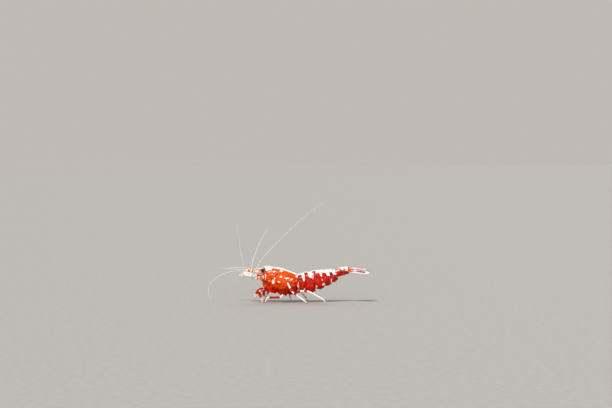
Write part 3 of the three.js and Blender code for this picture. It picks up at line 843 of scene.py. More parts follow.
# each ring: where its back starts and ends, how far its flap leans back and hangs down, how far its front
# and rear corners reach, and its white: depth on the back, depth of the bar, where the bar starts
ringKeys = ("from", "to", "lean", "flap", "front", "rear", "saddle", "bar", "barFrom")
tailRings = [
    dict(zip(ringKeys, values))
    for values in (
        (-0.45, 0.85, 0.15, 2.35, 0.0, 0.1, 0.2, 1.7, 0.42),
        (0.93, 2.55, 0.4, 1.95, -0.3, 0.25, 0.45, 1.35, 0.15),
        (2.63, 4.15, 0.7, 2.6, -0.1, 0.1, 0.5, 1.35, 0.5),
        (4.23, 5.65, 0.75, 3.3, -0.05, 0.1, 0.45, 1.3, 0.3),
        (5.73, 7.0, 0.65, 4.1, -0.05, 0.05, 0.45, 1.2, 0.2),
        (7.08, 9.6, 0.1, 4.9, 0.2, 0.1, 0.5, 0.0, 1.0),
    )
]
# white to yellow marks on the flaps
tailMarks = [
    (-0.38, 3.4, 0.16, 0.6, 0.75), (3.25, 3.15, 0.22, 0.3, 0.8), (4.75, 3.65, 0.2, 0.26, 0.8),
    (6.22, 4.25, 0.12, 0.5, 0.6), (4.5, 4.55, 0.12, 0.18, 0.8), (2.55, 4.75, 0.1, 0.12, 0.6),
    (0.95, 2.6, 0.22, 0.2, 0.0),
]
# red ovals in the white, seen from above and seen from the side
tailBackSpots = [
    (0.4, 0.3, 0.16, 0.1), (1.8, -0.32, 0.28, 0.12), (3.4, 0.28, 0.24, 0.1), (5.0, -0.26, 0.2, 0.1),
    (6.4, 0.2, 0.2, 0.08), (8.3, 0.05, 0.5, 0.06),
]
tailHoles = [
    (1.15, 5.8, 0.34, 0.15), (2.75, 6.1, 0.4, 0.15), (7.9, 6.62, 0.75, 0.06), (8.15, 6.42, 0.55, 0.06),
]
tailShell = {
    "around": 132, "along": 36, "wall": 0.06, "edgeAngle": math.radians(160), "middle": 4.7,
    "widestAt": 0.42, "keel": 0.6,
    # the front edge is tucked under the ring before it and drawn in, and the rear edge laps over the next
    "tuck": 0.34, "drawnIn": 0.075, "drawnUntil": 0.32, "lap": 0.06, "hidden": 0.2,
    # the flaps are round below a depth and shift back there; the second ring's lie over both neighbours
    "flapFrom": 0.5, "flapFull": 0.72, "roundFrom": 0.78, "roundLeast": 0.04, "roundShift": 0.1,
    "flapFit": 0.75, "over": 0.012, "under": 0.05, "underFrom": 0.5,
    # each back is a low arch, and its rear edge a lip with a crease before it: height, width and place
    "arch": 0.07, "archSpan": (0.25, 0.8), "sunk": 0.04, "narrowed": 0.97, "flare": 0.6,
    "lip": (0.016, 0.05), "crease": (0.014, 0.04, 0.86),
    "bristles": (22, 0.1, 0.95), "bristleWay": (0.35, 0, -1),
}
# the last ring is a closed tube: how its rows crowd to its round rear end, and how its underside rises
lastRing = {"crowding": 1.6, "round": 0.07, "rise": 0.82, "middle": 6.1}
# how much deeper the white is at a ring's rear, how soon a bar is full, and the last ring's white, how
# much deeper that gets and from where
tailPaint = {
    "deeper": 0.2, "barRamp": 0.42, "lastRing": (0.62, 0.25, 0.5), "softness": 0.8,
    "warm": ((0.3, 1.5, -0.5), (0.12, 6.0, 2.0)),  # orange shares, and from where to where each grows
}


def makeTailRing(index):
    ring = tailRings[index]
    last = index == len(tailRings) - 1
    edge = math.pi if last else tailShell["edgeAngle"]
    deepest = (1 - math.cos(edge)) / 2

    def stretched(v):
        return 1 - (1 - v) ** lastRing["crowding"] if last else v

    def onBack(v):  # the front of each ring's length is hidden under the ring before it
        return max(0.0, v * (1 + tailShell["hidden"]) - tailShell["hidden"])

    def place(u, v):
        v = stretched(v)
        angle = blend(-edge, edge, u)
        depth = (1 - math.cos(angle)) / 2
        corner = smooth(tailShell["flapFrom"], 1.0, depth)
        lowFlap = smooth(tailShell["flapFrom"], tailShell["flapFull"], depth)
        over = lowFlap if index == 1 else 0.0
        front = ring["from"] + ring["lean"] * depth + ring["front"] * corner - tailShell["tuck"]
        rear = ring["to"] + ring["lean"] * depth + ring["rear"] * corner + tailShell["lap"]
        if not last:
            share = max(0.0, (depth - tailShell["roundFrom"]) / (deepest - tailShell["roundFrom"]))
            half = (rear - front) / 2 * math.sqrt(max(tailShell["roundLeast"], 1 - share ** 2))
            centre = (rear + front) / 2 + tailShell["roundShift"] * share
            front, rear = centre - half, centre + half
        x = blend(front, rear, v)
        back = blend(ring["from"], ring["to"], onBack(v))
        rise = math.sin(math.pi * blend(*tailShell["archSpan"], v)) * tailShell["arch"]
        if last:
            low = ring["flap"] + lastRing["rise"] * v
        else:
            low = blend(ring["flap"], abdomenLow(x), tailShell["flapFit"])
        high = abdomenTop(back) - tailShell["sunk"] + rise
        half = abdomenHalf(back) * (tailShell["narrowed"] + rise * tailShell["flare"])
        y, z = bodySection(angle, high, low, half, tailShell["keel"], tailShell["widestAt"])
        drawnIn = tailShell["drawnIn"] * smooth(tailShell["drawnUntil"], 0.0, v) * (1 - over)
        scale = 1 - drawnIn + tailShell["over"] * over
        if index in (0, 2):
            near = smooth(tailShell["underFrom"], 1.0, v if index == 0 else 1 - v)
            scale -= tailShell["under"] * lowFlap * near
        lip, lipWidth = tailShell["lip"]
        crease, creaseWidth, creaseAt = tailShell["crease"]
        scale += lip * hump(1 - v, lipWidth) - crease * hump(creaseAt - v, creaseWidth)
        scale *= roundEnds(v, lastRing["round"]) if last else 1.0
        middle = lastRing["middle"] if last else tailShell["middle"]
        return x, y * scale, middle + (z - middle) * scale

    def paint(u, v, point):
        depth = abdomenTop(point.x) - point.z
        local = onBack(stretched(v))
        if last:
            white, more, start = tailPaint["lastRing"]
            level = white + more * smooth(start, 1.0, local) - depth
        else:
            ramp = smooth(ring["barFrom"], ring["barFrom"] + tailPaint["barRamp"], local)
            level = max(ring["saddle"] + tailPaint["deeper"] * local, ring["bar"] * ramp) - depth
        level, yellow = marked(*point, level, tailMarks, tailHoles)
        level = spotted(point, depth, level, tailBackSpots)
        warm = sum(share * smooth(start, end, point.x) for share, start, end in tailPaint["warm"])
        return level * tailPaint["softness"], yellow, warm

    if not last:
        bristleRow(place, *tailShell["bristles"], tailShell["bristleWay"])
    shell = laidGrid(f"tailRing{index + 1}", tailShell["around"], tailShell["along"], place, paint)
    if not last:
        withModifier(shell, "SOLIDIFY", thickness=tailShell["wall"] * mm, offset=-1.0)
    return finished(shell, shellChitin, "shell", f"abdomen_{index + 1}")


for index in range(len(tailRings)):
    makeTailRing(index)
print("tail rings made")


telson = {
    "root": (9.4, 0, 6.74), "tip": (13.3, 0, 6.42), "up": (0, 0, 1),
    "thick": 0.16, "rib": 0.07, "bow": 0.1, "bristles": (9, 0.3, 0.93),
    "outline": through([(0, 0.5), (0.1, 0.5), (0.5, 0.36), (0.9, 0.22), (1.0, 0.12)]),
}
fanShape = {"rib": 0.05, "bow": 0.06, "bristles": (46, 0.48, 0.5)}
fanBlades = {
    "inner": {"root": (9.45, 0.4, 6.5), "tip": (13.65, 1.2, 6.18), "thick": 0.09, "tilt": 0.25,
              "outline": leafOutline(0.46, 0.62, 0.42, 0.55)},
    "outer": {"root": (9.45, 0.52, 6.22), "tip": (13.9, 2.2, 5.95), "thick": 0.1, "tilt": 0.55,
              "outline": leafOutline(0.54, 0.66, 0.42, 0.55)},
}
# the red on a white blade, in shares of it: length of the triangle at its root, and width, middle and half
# length of the streak
fanRed = {
    "telson": {"triangle": 0.36, "streak": (0.3, 0.62, 0.2)},
    "leaf": {"triangle": 0.38, "streak": (0.5, 0.6, 0.2)},
    "slope": 1.6, "least": 0.05, "softness": 0.5, "limit": 0.3, "warm": 0.8, "yellow": 0.05,
    "warmEnd": (0.45, 0.3),
}


def fanLevel(u, v, triangle, streak):
    wide = abs(math.sin(2 * math.pi * u))
    triangleHalf = max(fanRed["least"], fanRed["slope"] * (1 - v / triangle))
    fromTriangle = max(v / triangle, wide / triangleHalf)
    fromStreak = max(wide / streak[0], abs(v - streak[1]) / streak[2])
    level = fanRed["softness"] * (min(fromTriangle, fromStreak) - 1)
    return max(-fanRed["limit"], min(fanRed["limit"], level))


def paintTelson(u, v, point):
    return fanLevel(u, v, **fanRed["telson"]), fanRed["yellow"], fanRed["warm"]


def paintFan(u, v, point):
    return fanLevel(u, v, **fanRed["leaf"]), 0.0, fanRed["warm"] * smooth(*fanRed["warmEnd"], v)


finished(makeBlade("telsonBlade", telson, paintTelson), tailChitin, "tail_fan", "telson")
fringeBlade("telsonBristles", telson, *telson["bristles"])
for side, sign in sides.items():
    for part, shape in fanBlades.items():
        leaf = dict(
            shape, root=onSide(shape["root"], sign), tip=onSide(shape["tip"], sign),
            up=(0, sign * shape["tilt"], 1), rib=fanShape["rib"], bow=fanShape["bow"],
        )
        name = f"{side}{part.title()}Uropod"
        finished(makeBlade(name, leaf, paintFan), tailChitin, "tail_fan", f"uropod_{side}_{part}")
        fringeBlade("tailFanBristles", leaf, *fanShape["bristles"])
print("tail fan made")

# a stalk and two leaves under each of the first five rings: top, length and distance from the middle of
# each pair; spread, back, stalk, lean and split are shares of these
swimmerets = {
    "tops": [4.0, 4.05, 4.3, 4.85, 5.2], "lengths": [1.5, 1.75, 1.5, 1.25, 0.95],
    "sides": [0.6, 0.62, 0.56, 0.46, 0.36], "inset": 0.15, "spread": 1.05, "back": 0.2, "stalk": 0.42,
    "lean": 0.55, "stalkHalf": (0.2, 0.15), "stalkFlat": 0.75, "round": 0.12, "around": 18, "along": 16,
    "leaves": ((0.12, 0.3), (-0.12, 0.24)),  # turn and half width of each
    "stalkRoot": ((0.0, 0.15), (0.05, -0.1)),  # two places on it from the top, back and up
    "leafRoot": (-0.04, 0.06), "split": 0.5, "fork": 1.6, "bristles": (16, 0.3, 0.35),
    "paint": (-0.3, 0.5, 0.8, 1.0, 0.1, 0.3),  # red with a pale tip
}
swimmeretLeaf = {"up": (0, 1, 0), "thick": 0.05, "rib": 0.02, "steps": 30}


def makeSwimmeret(index, side, sign):
    ring = tailRings[index]
    x = (ring["from"] + ring["to"]) / 2 + swimmerets["inset"]
    top, length = swimmerets["tops"][index], swimmerets["lengths"][index]
    y = sign * swimmerets["sides"][index]
    outer = y * swimmerets["spread"]
    stalkEnd = Vector((x + length * swimmerets["back"], outer, top - length * swimmerets["stalk"]))
    points = [(x + back, y, top + up) for back, up in swimmerets["stalkRoot"]] + [stalkEnd]
    line = curveThrough(points, swimmerets["along"])
    paint = fading(*swimmerets["paint"])

    def stalk(t, angle):
        half = blend(*swimmerets["stalkHalf"], t) * roundEnds(t, swimmerets["round"])
        return oval(half, angle, up=swimmerets["stalkFlat"])

    pieces = [swept("stalk", line, swimmerets["around"], stalk, paint, up=(0, 1, 0))]
    rootBack, rootUp = swimmerets["leafRoot"]
    for turn, wide in swimmerets["leaves"]:
        back = length * (swimmerets["lean"] - turn * swimmerets["split"])
        out = turn * sign
        leaf = dict(
            swimmeretLeaf, root=stalkEnd + Vector((rootBack, out, rootUp)),
            tip=Vector((x + back, outer + out * swimmerets["fork"], top - length)),
            outline=leafOutline(wide, 0.5, 0.35),
        )
        pieces.append(makeBlade("leaf", leaf, paint))
        fringeBlade("swimmeretBristles", leaf, *swimmerets["bristles"])
    name = f"{side}Swimmeret{index + 1}"
    return finished(joined(name, pieces), limbChitin, "limb", f"swimmeret_{index + 1}_{side}")


for index in range(len(swimmerets["tops"])):
    for side, sign in sides.items():
        makeSwimmeret(index, side, sign)
print("swimmerets made")


eye = {
    "centre": (-7.45, 0.95, 6.36), "radius": 0.36, "flat": 0.94, "segments": 48, "rings": 32,
    "stalk": [(-7.0, 0.2, 6.22), (-7.22, 0.42, 6.24), (-7.42, 0.84, 6.34)],
    "stalkHalf": (0.17, 0.345), "stalkSwell": (0.3, 0.95), "round": 0.06, "around": 32, "along": 24,
    "white": 0.12, "streaks": 3, "streakDepth": 0.4, "streakFade": (0.5, 0.75), "tint": (0.1, 0.9),
}
for side, sign in sides.items():
    bpy.ops.object.select_all(action="DESELECT")
    bpy.ops.mesh.primitive_uv_sphere_add(
        segments=eye["segments"], ring_count=eye["rings"], radius=eye["radius"] * mm,
        location=inFrame(onSide(eye["centre"], sign)),
    )
    ball = bpy.context.object
    ball.scale = (eye["flat"], 1.0, 1.0)
    bpy.ops.object.transform_apply(location=True, rotation=True, scale=True)
    bpy.ops.object.shade_smooth()
    ball.name = f"{side}Eye"
    finished(ball, cornea, "eye", f"eye_{side}")

    line = curveThrough([onSide(point, sign) for point in eye["stalk"]], eye["along"])

    def stalkSection(t, angle):
        half = blend(*eye["stalkHalf"], smooth(*eye["stalkSwell"], t)) * roundEnds(t, eye["round"])
        return oval(half, angle)

    def stalkPaint(u, v, point):  # white with orange streaks, which fade to the root
        streak = smooth(*eye["streakFade"], abs(math.sin(eye["streaks"] * math.pi * u)) * v)
        return eye["white"] - eye["streakDepth"] * streak, *eye["tint"]

    stalk = swept(f"{side}Eyestalk", line, eye["around"], stalkSection, stalkPaint)
    finished(stalk, headChitin, "shell", f"eyestalk_{side}")
print("eyes made")


limbShape = {
    # how far a joint's bend reaches, also as a share of a segment, and how close the rows lie
    "bend": 0.16, "bendShare": 0.4, "spacing": 0.075, "leastRows": 14, "crowding": 0.75, "around": 20,
    # each segment's form, how far its round ends reach in shares of its radius, and the sole's height
    "flat": 0.84, "pinch": 0.3, "pinchReach": 0.075, "swell": 0.13, "swellAt": (0.45, 0.93), "waist": 0.05,
    "rootReach": 0.8, "tipReach": 0.9, "leastTip": 0.05, "sole": 0.015, "up": (0, 0.3, 1),
    "unmarked": -0.4, "whole": 0.3,  # white levels outside a band and where it wraps a whole segment
}


# A line through a limb's joints with rounded bends, and the segment and place along it of each point.
def jointedLine(joints):
    joints = [Vector(joint) for joint in joints]
    lengths = [(b - a).length for a, b in zip(joints, joints[1:])]
    last = len(lengths) - 1
    line, places = [], []

    def bent(i, away):
        reach = min(limbShape["bend"], limbShape["bendShare"] * min(lengths[i - 1], lengths[i]))
        if abs(away) >= reach:
            return None
        q = 0.5 + away / (2 * reach)
        before = joints[i] + (joints[i - 1] - joints[i]).normalized() * reach
        after = joints[i] + (joints[i + 1] - joints[i]).normalized() * reach
        return before * (1 - q) ** 2 + joints[i] * 2 * q * (1 - q) + after * q * q

    for i, length in enumerate(lengths):
        steps = max(limbShape["leastRows"], round(length / limbShape["spacing"]))
        for k in range(steps + (i == last)):
            even = k / steps
            t = blend(even, (1 - math.cos(math.pi * even)) / 2, limbShape["crowding"])
            point = joints[i].lerp(joints[i + 1], t)
            if i > 0:
                point = bent(i, t * length) or point
            if i < last:
                point = bent(i + 1, (t - 1) * length) or point
            line.append(point)
            places.append((i, t, length))
    return line, places


# A jointed limb in one skin: each segment narrows, swells before its joint, and is drawn in at it.
# bands lists the white stretches as (segment, from, to); warm and pale tint the rest and the white.
def makeLimb(name, joints, radii, bands=(), warm=0.3, pale=0.15):
    line, places = jointedLine(joints)
    last = len(radii) - 2
    reach = limbShape["pinchReach"]

    def section(v, angle):
        i, t, length = places[round(v * (len(line) - 1))]
        near, far = t * length, (1 - t) * length
        half = blend(radii[i], radii[i + 1], t)
        swell = limbShape["swell"] * smooth(*limbShape["swellAt"], t)
        half *= 1 + swell - limbShape["waist"] * math.sin(math.pi * t)
        if i > 0:
            half *= 1 - limbShape["pinch"] * hump(near, reach)
        else:
            half *= rounded(near / (radii[0] * limbShape["rootReach"]))
        if i < last:
            half *= 1 - limbShape["pinch"] * hump(far, reach)
        else:
            half *= rounded(far / max(limbShape["leastTip"], radii[-1] * limbShape["tipReach"]))
        return oval(half, angle, across=limbShape["flat"])

    def paint(u, v, point):
        i, t, length = places[round(v * (len(line) - 1))]
        level, whole = limbShape["unmarked"], limbShape["whole"]
        for segment, start, end in bands:
            if segment == i:
                fromStart = (t - start) * length if start > 0 else whole
                fromEnd = (end - t) * length if end < 1 else whole
                level = max(level, min(fromStart, fromEnd))
        return level, pale, warm

    return swept(name, line, limbShape["around"], section, paint, up=limbShape["up"])


limbBristle = {
    "fan": 0.9, "sunk": 0.85, "forward": 0.9, "lengths": (0.7, 1.2), "thickness": 0.012,
    "shuffle": (0.3, 0.7),
}


# Short spines and bristles on the lower side of a limb's far segments.
def bristleLimb(where, joints, radii, first, spacing, length):
    for i in range(first, len(joints) - 1):
        start, end = Vector(joints[i]), Vector(joints[i + 1])
        axis = (end - start).normalized()
        count = int((end - start).length / spacing)
        for k in range(count):
            t = (k + random.uniform(*limbBristle["shuffle"])) / count
            turn = random.uniform(-limbBristle["fan"], limbBristle["fan"])
            down = Vector((0, math.sin(turn), -math.cos(turn)))
            down = (down - axis * down.dot(axis)).normalized()
            root = start.lerp(end, t) + down * blend(radii[i], radii[i + 1], t) * limbBristle["sunk"]
            long = length * random.uniform(*limbBristle["lengths"])
            direction = down + axis * limbBristle["forward"]
            addBristle(where, root, direction, long, limbBristle["thickness"])


# Cuts the last segment of a leg off at its sole, just over the floor.
def onFloor(joints):
    before, last = Vector(joints[-2]), Vector(joints[-1])
    share = (before.z - limbShape["sole"]) / (before.z - last.z)
    return [Vector(joint) for joint in joints[:-1]] + [before.lerp(last, share)]


walkingLegs = {
    "walking_leg_3_left": {
        "joints": [(-3.9, -0.8, 1.75), (-3.2, -2.75, 1.9), (-3.75, -3.15, 1.2), (-6.45, -3.3, 1.15),
                   (-7.15, -3.3, -0.15)],
        "radii": [0.3, 0.25, 0.24, 0.22, 0.05],
        "white": [(1, 0.35, 1), (2, 0, 0.1), (2, 0.86, 1), (3, 0, 0.8)],
    },
    "walking_leg_3_right": {
        "joints": [(-3.9, 0.8, 1.75), (-4.2, 1.95, 1.7), (-5.1, 2.65, 3.3), (-6.1, 3.05, 2.45),
                   (-7.0, 3.4, 0.6), (-7.25, 3.45, -0.15)],
        "radii": [0.3, 0.25, 0.22, 0.2, 0.15, 0.04],
        "white": [(2, 0.8, 1), (3, 0, 0.3), (3, 0.6, 1), (4, 0, 0.8)],
    },
    "walking_leg_4_left": {
        "joints": [(-3.05, -0.8, 1.7), (-2.75, -1.9, 1.65), (-2.5, -2.65, 4.0), (-1.45, -3.0, 2.15),
                   (0.95, -3.4, 0.5), (1.65, -3.5, -0.15)],
        "radii": [0.3, 0.25, 0.22, 0.2, 0.15, 0.04],
        "white": [(2, 0, 0.55), (2, 0.88, 1), (3, 0, 0.1), (3, 0.3, 1), (4, 0, 0.8)],
    },
    "walking_leg_4_right": {
        "joints": [(-3.05, 0.8, 1.7), (-3.1, 1.95, 1.65), (-3.1, 2.65, 3.9), (-2.6, 3.05, 2.35),
                   (-1.9, 3.55, 0.6), (-1.65, 3.65, -0.15)],
        "radii": [0.3, 0.25, 0.22, 0.19, 0.15, 0.04],
        "white": [(2, 0, 0.4), (2, 0.88, 1), (3, 0, 0.15), (3, 0.5, 1), (4, 0, 0.8)],
    },
    "walking_leg_5_left": {
        "joints": [(-2.2, -0.8, 1.7), (0.4, -2.65, 2.4), (1.85, -3.0, 2.3), (4.65, -3.45, 0.8),
                   (5.4, -3.5, -0.12)],
        "radii": [0.29, 0.22, 0.2, 0.15, 0.04],
        "white": [(0, 0.9, 1), (1, 0, 0.3), (1, 0.7, 1), (2, 0, 1), (3, 0, 0.8)],
    },
    "walking_leg_5_right": {
        "joints": [(-2.2, 0.8, 1.7), (-1.6, 2.02, 1.66), (-0.88, 2.66, 3.88), (-0.2, 2.95, 2.32),
                   (1.22, 3.4, 0.6), (1.55, 3.5, -0.15)],
        "radii": [0.29, 0.25, 0.22, 0.19, 0.15, 0.04],
        "white": [(2, 0, 0.4), (2, 0.88, 1), (3, 0, 0.9), (4, 0, 0.8)],
    },
}

legBristle = {"spacing": 0.16, "length": 0.2, "segments": 3}

for node, leg in walkingLegs.items():
    joints, radii = onFloor(leg["joints"]), leg["radii"]
    first = len(joints) - 1 - legBristle["segments"]
    bristleLimb("legBristles", joints, radii, first, legBristle["spacing"], legBristle["length"])
    finished(makeLimb(f"{node}_chitin", joints, radii, leg["white"]), limbChitin, "limb", node)

maxillipeds = {
    "joints": {
        "left": [(-6.1, -0.4, 3.0), (-6.9, -0.52, 3.2), (-7.6, -0.62, 2.95), (-8.1, -0.66, 2.4)],
        "right": [(-6.1, 0.4, 3.0), (-6.9, 0.52, 3.15), (-7.5, 0.62, 2.85), (-7.9, 0.66, 2.3)],
    },
    "radii": [0.24, 0.2, 0.17, 0.07], "white": [(1, 0.8, 1), (2, 0.3, 1)], "warm": 0.5,
    "spacing": 0.06, "bristle": 0.32,
}
for side, joints in maxillipeds["joints"].items():
    radii = maxillipeds["radii"]
    bristleLimb("mouthBristles", joints, radii, 0, maxillipeds["spacing"], maxillipeds["bristle"])
    node = f"maxilliped_{side}"
    limb = makeLimb(f"{node}_chitin", joints, radii, maxillipeds["white"], maxillipeds["warm"])
    finished(limb, limbChitin, "limb", node)
print("walking legs and mouthparts made")


clawLegs = {
    "claw_leg_1_left": {"joints": [(-5.5, -0.7, 2.4), (-7.2, -1.75, 2.98), (-8.15, -2.0, 2.75)],
                        "tip": (-9.2, -2.1, 1.05), "white": [(1, 0.0, 0.15)], "fingers": 0.75},
    "claw_leg_1_right": {"joints": [(-5.5, 0.7, 2.4), (-7.1, 1.7, 2.75), (-8.1, 1.95, 2.45)],
                         "tip": (-9.0, 2.1, 0.85), "white": [(1, 0.0, 0.15)], "fingers": 0.75},
    "claw_leg_2_left": {"joints": [(-4.75, -0.8, 2.0), (-6.7, -2.15, 2.5), (-8.15, -2.7, 2.35)],
                        "tip": (-7.4, -2.9, 0.0), "white": [(1, 0.8, 1)], "fingers": 0.1},
    "claw_leg_2_right": {"joints": [(-4.75, 0.8, 2.0), (-6.1, 2.1, 2.4), (-7.25, 2.5, 2.2)],
                         "tip": (-7.45, 2.6, 0.0), "white": [(1, 0.8, 1)], "fingers": 0.3},
}
pincer = {
    "radii": [0.28, 0.21, 0.16], "warm": 0.35, "spacing": 0.14, "bristle": 0.2, "lowest": 0.16,
    # the palm's length as a share of the pincer, its radii, how flat it is and how soon its ends are round
    "palm": 0.52, "sunk": 0.08, "wrist": 0.15, "palmRadius": 0.27, "palmFlat": 0.72, "palmRound": 0.16,
    "palmSwell": (0.0, 0.45), "palmSteps": 26, "palmAround": 24, "across": (0, 1, 0.25),
    "palmPaint": (-0.3, 0.45, 0.16, 0.02, 0.2, 0.2),  # red with a pale wrist
    # the fingers spring from both sides of the palm, spread, and close again at their tips
    "root": (0.11, -0.12), "spread": 0.18, "spreadAt": 0.2, "closed": (0.045, -0.02), "fingerRadius": 0.12,
    "fingerTip": 0.3, "taper": 1.4, "fingerFlat": 0.8, "fingerRound": 0.06, "fingerSteps": 24,
    "fingerAround": 16, "fingerFade": (0.1, 0.5), "fingerRed": 0.35, "fingerTint": (0.45, 0.8),
    # the brushes that pick food off the ground
    "brush": 46, "brushFrom": 0.55, "forward": 1.7, "stray": 0.5, "inward": 0.1, "hairs": (0.2, 0.34),
    "hair": 0.009,
}


def makePincer(claw):
    wrist, tip = Vector(claw["joints"][-1]), Vector(claw["tip"])
    tip.z = max(tip.z, pincer["lowest"])
    axis = (tip - wrist).normalized()
    length = (tip - wrist).length
    side = Vector(pincer["across"]).cross(axis).normalized()
    palmEnd = wrist.lerp(tip, pincer["palm"])
    palmPoints = [wrist - axis * pincer["sunk"], wrist.lerp(tip, pincer["palm"] / 2), palmEnd]
    palmLine = curveThrough(palmPoints, pincer["palmSteps"])

    def palmSection(t, angle):
        half = blend(pincer["wrist"], pincer["palmRadius"], smooth(*pincer["palmSwell"], t))
        half *= roundEnds(t, pincer["palmRound"])
        return half * pincer["palmFlat"] * math.cos(angle), half * math.sin(angle)

    def fingerPaint(u, v, point):  # pale towards the tips
        pale = smooth(*pincer["fingerFade"], v) - pincer["fingerRed"]
        return claw["fingers"] * pale, *pincer["fingerTint"]

    palmPaint = fading(*pincer["palmPaint"])
    pieces = [swept("palm", palmLine, pincer["palmAround"], palmSection, palmPaint, up=side)]
    for turn in (-1, 1):
        out = side * turn
        (rootOut, rootOn), (tipOut, tipOn) = pincer["root"], pincer["closed"]
        line = curveThrough([
            palmEnd + out * rootOut + axis * rootOn,
            palmEnd + out * pincer["spread"] + axis * length * pincer["spreadAt"],
            tip + out * tipOut + axis * tipOn,
        ], pincer["fingerSteps"])

        def fingerSection(t, angle):
            half = pincer["fingerRadius"] * blend(1.0, pincer["fingerTip"], t ** pincer["taper"])
            half *= roundEnds(t, pincer["fingerRound"])
            return half * pincer["fingerFlat"] * math.cos(angle), half * math.sin(angle)

        pieces.append(swept("finger", line, pincer["fingerAround"], fingerSection, fingerPaint, up=side))
        for k in range(pincer["brush"]):
            spot = line[round(random.uniform(pincer["brushFrom"], 1.0) * pincer["fingerSteps"])]
            stray = Vector([random.uniform(-pincer["stray"], pincer["stray"]) for _ in range(3)])
            direction = axis * pincer["forward"] + stray - out * pincer["inward"]
            addBristle("clawBrushes", spot, direction, random.uniform(*pincer["hairs"]), pincer["hair"])
    return pieces


for node, claw in clawLegs.items():
    radii = pincer["radii"]
    arm = makeLimb("arm", claw["joints"], radii, claw["white"], pincer["warm"])
    pieces = [arm] + makePincer(claw)
    bristleLimb("legBristles", claw["joints"], radii, 1, pincer["spacing"], pincer["bristle"])
    finished(joined(f"{node}_chitin", pieces), limbChitin, "limb", node)
print("pincers made")


feelerForm = {
    # length of a ring, rows in it, how narrow it starts, how it grows, and every how many one is darker
    "ring": 0.2, "rows": 3, "narrow": 0.92, "growth": 0.16, "marked": 4, "fewest": 6,
    "taper": 0.7, "round": 0.01, "around": 12, "lift": 0.01, "pale": 0.3, "dark": -0.02,
    "warm": 0.5, "warmEnd": 0.06,  # orange at the root
}


# A long tapering feeler of short rings, each a little wider at its far end; every few rings one is darker.
def makeFeeler(name, points, startRadius, endRadius, floor=False):
    length = sum((Vector(a) - Vector(b)).length for a, b in zip(points, points[1:]))
    rows = feelerForm["rows"]
    rings = max(feelerForm["fewest"], round(length / feelerForm["ring"]))
    line = curveThrough(points, rings * rows)
    if floor:
        lowest = endRadius + feelerForm["lift"]
        line = [Vector((point.x, point.y, max(point.z, lowest))) for point in line]

    def section(t, angle):
        step = (round(t * rings * rows) % rows) / 2
        half = blend(startRadius, endRadius, t ** feelerForm["taper"])
        half *= feelerForm["narrow"] + feelerForm["growth"] * step
        return oval(half * roundEnds(t, feelerForm["round"]), angle)

    def paint(u, v, point):
        shade = feelerForm["pale"] if int(v * rings) % feelerForm["marked"] else feelerForm["dark"]
        return shade, 0.0, feelerForm["warm"] * smooth(feelerForm["warmEnd"], 0.0, v)

    return swept(name, line, feelerForm["around"], section, paint, up=(0, 1, 0))


feelerBases = {
    # the stalk of an antennule, its side spine as steps from its root, and its two feelers
    "stalkRadii": [0.34, 0.28, 0.25, 0.2], "stalkWhite": [(0, 0.5, 1), (1, 0.62, 1), (2, 0.4, 1)],
    "stalkWarm": 1.0, "stalkPale": 0.4, "bristles": (0, 0.12, 0.22), "upperRadii": (0.125, 0.05),
    "spine": [(0, 0.2, 0), (-0.6, 0.42, 0.02), (-1.15, 0.36, 0.08)], "spineHalf": 0.12, "spineFlat": 0.5,
    "spineTaper": 1.5, "spineRound": 0.05, "spineSteps": 20, "spineAround": 14,
    "spinePaint": (0.2, 0.2, 0.6),
    # the base of an antenna, its root inside the head, and its long feeler
    "baseRoot": (-7.0, 0.9, 5.1), "baseRadii": [0.5, 0.44, 0.36, 0.2], "baseWarm": 0.9,
    "baseWhite": [(0, 0.85, 1), (1, 0.0, 0.18), (1, 0.8, 1), (2, 0.4, 1)], "longRadii": (0.15, 0.05),
}
antennules = {
    "left": {
        "stalk": [(-7.6, -0.34, 6.02), (-9.0, -0.4, 6.12), (-10.0, -0.44, 6.3), (-11.0, -0.5, 6.45)],
        "upper": [(-10.95, -0.52, 6.55), (-11.14, -0.56, 7.0), (-11.5, -0.7, 8.6), (-12.0, -0.95, 11.4),
                  (-12.6, -1.2, 15.4)],
        "front": [(-10.9, -0.48, 6.44), (-11.45, -0.5, 6.5), (-12.9, -0.7, 6.62), (-14.4, -1.0, 6.72),
                  (-16.2, -1.4, 6.9)],
    },
    "right": {
        "stalk": [(-7.6, 0.34, 6.02), (-8.6, 0.42, 6.14), (-9.3, 0.5, 6.34), (-9.95, 0.58, 6.5)],
        "upper": [(-9.85, 0.6, 6.55), (-9.66, 0.66, 7.05), (-9.42, 1.1, 8.35), (-8.9, 1.9, 9.8),
                  (-7.95, 3.2, 12.1), (-6.3, 5.0, 15.0)],
        "front": [(-9.9, 0.62, 6.5), (-10.35, 0.66, 6.62), (-11.9, 1.05, 6.85), (-13.5, 1.7, 6.8),
                  (-15.0, 2.5, 6.5)],
    },
}
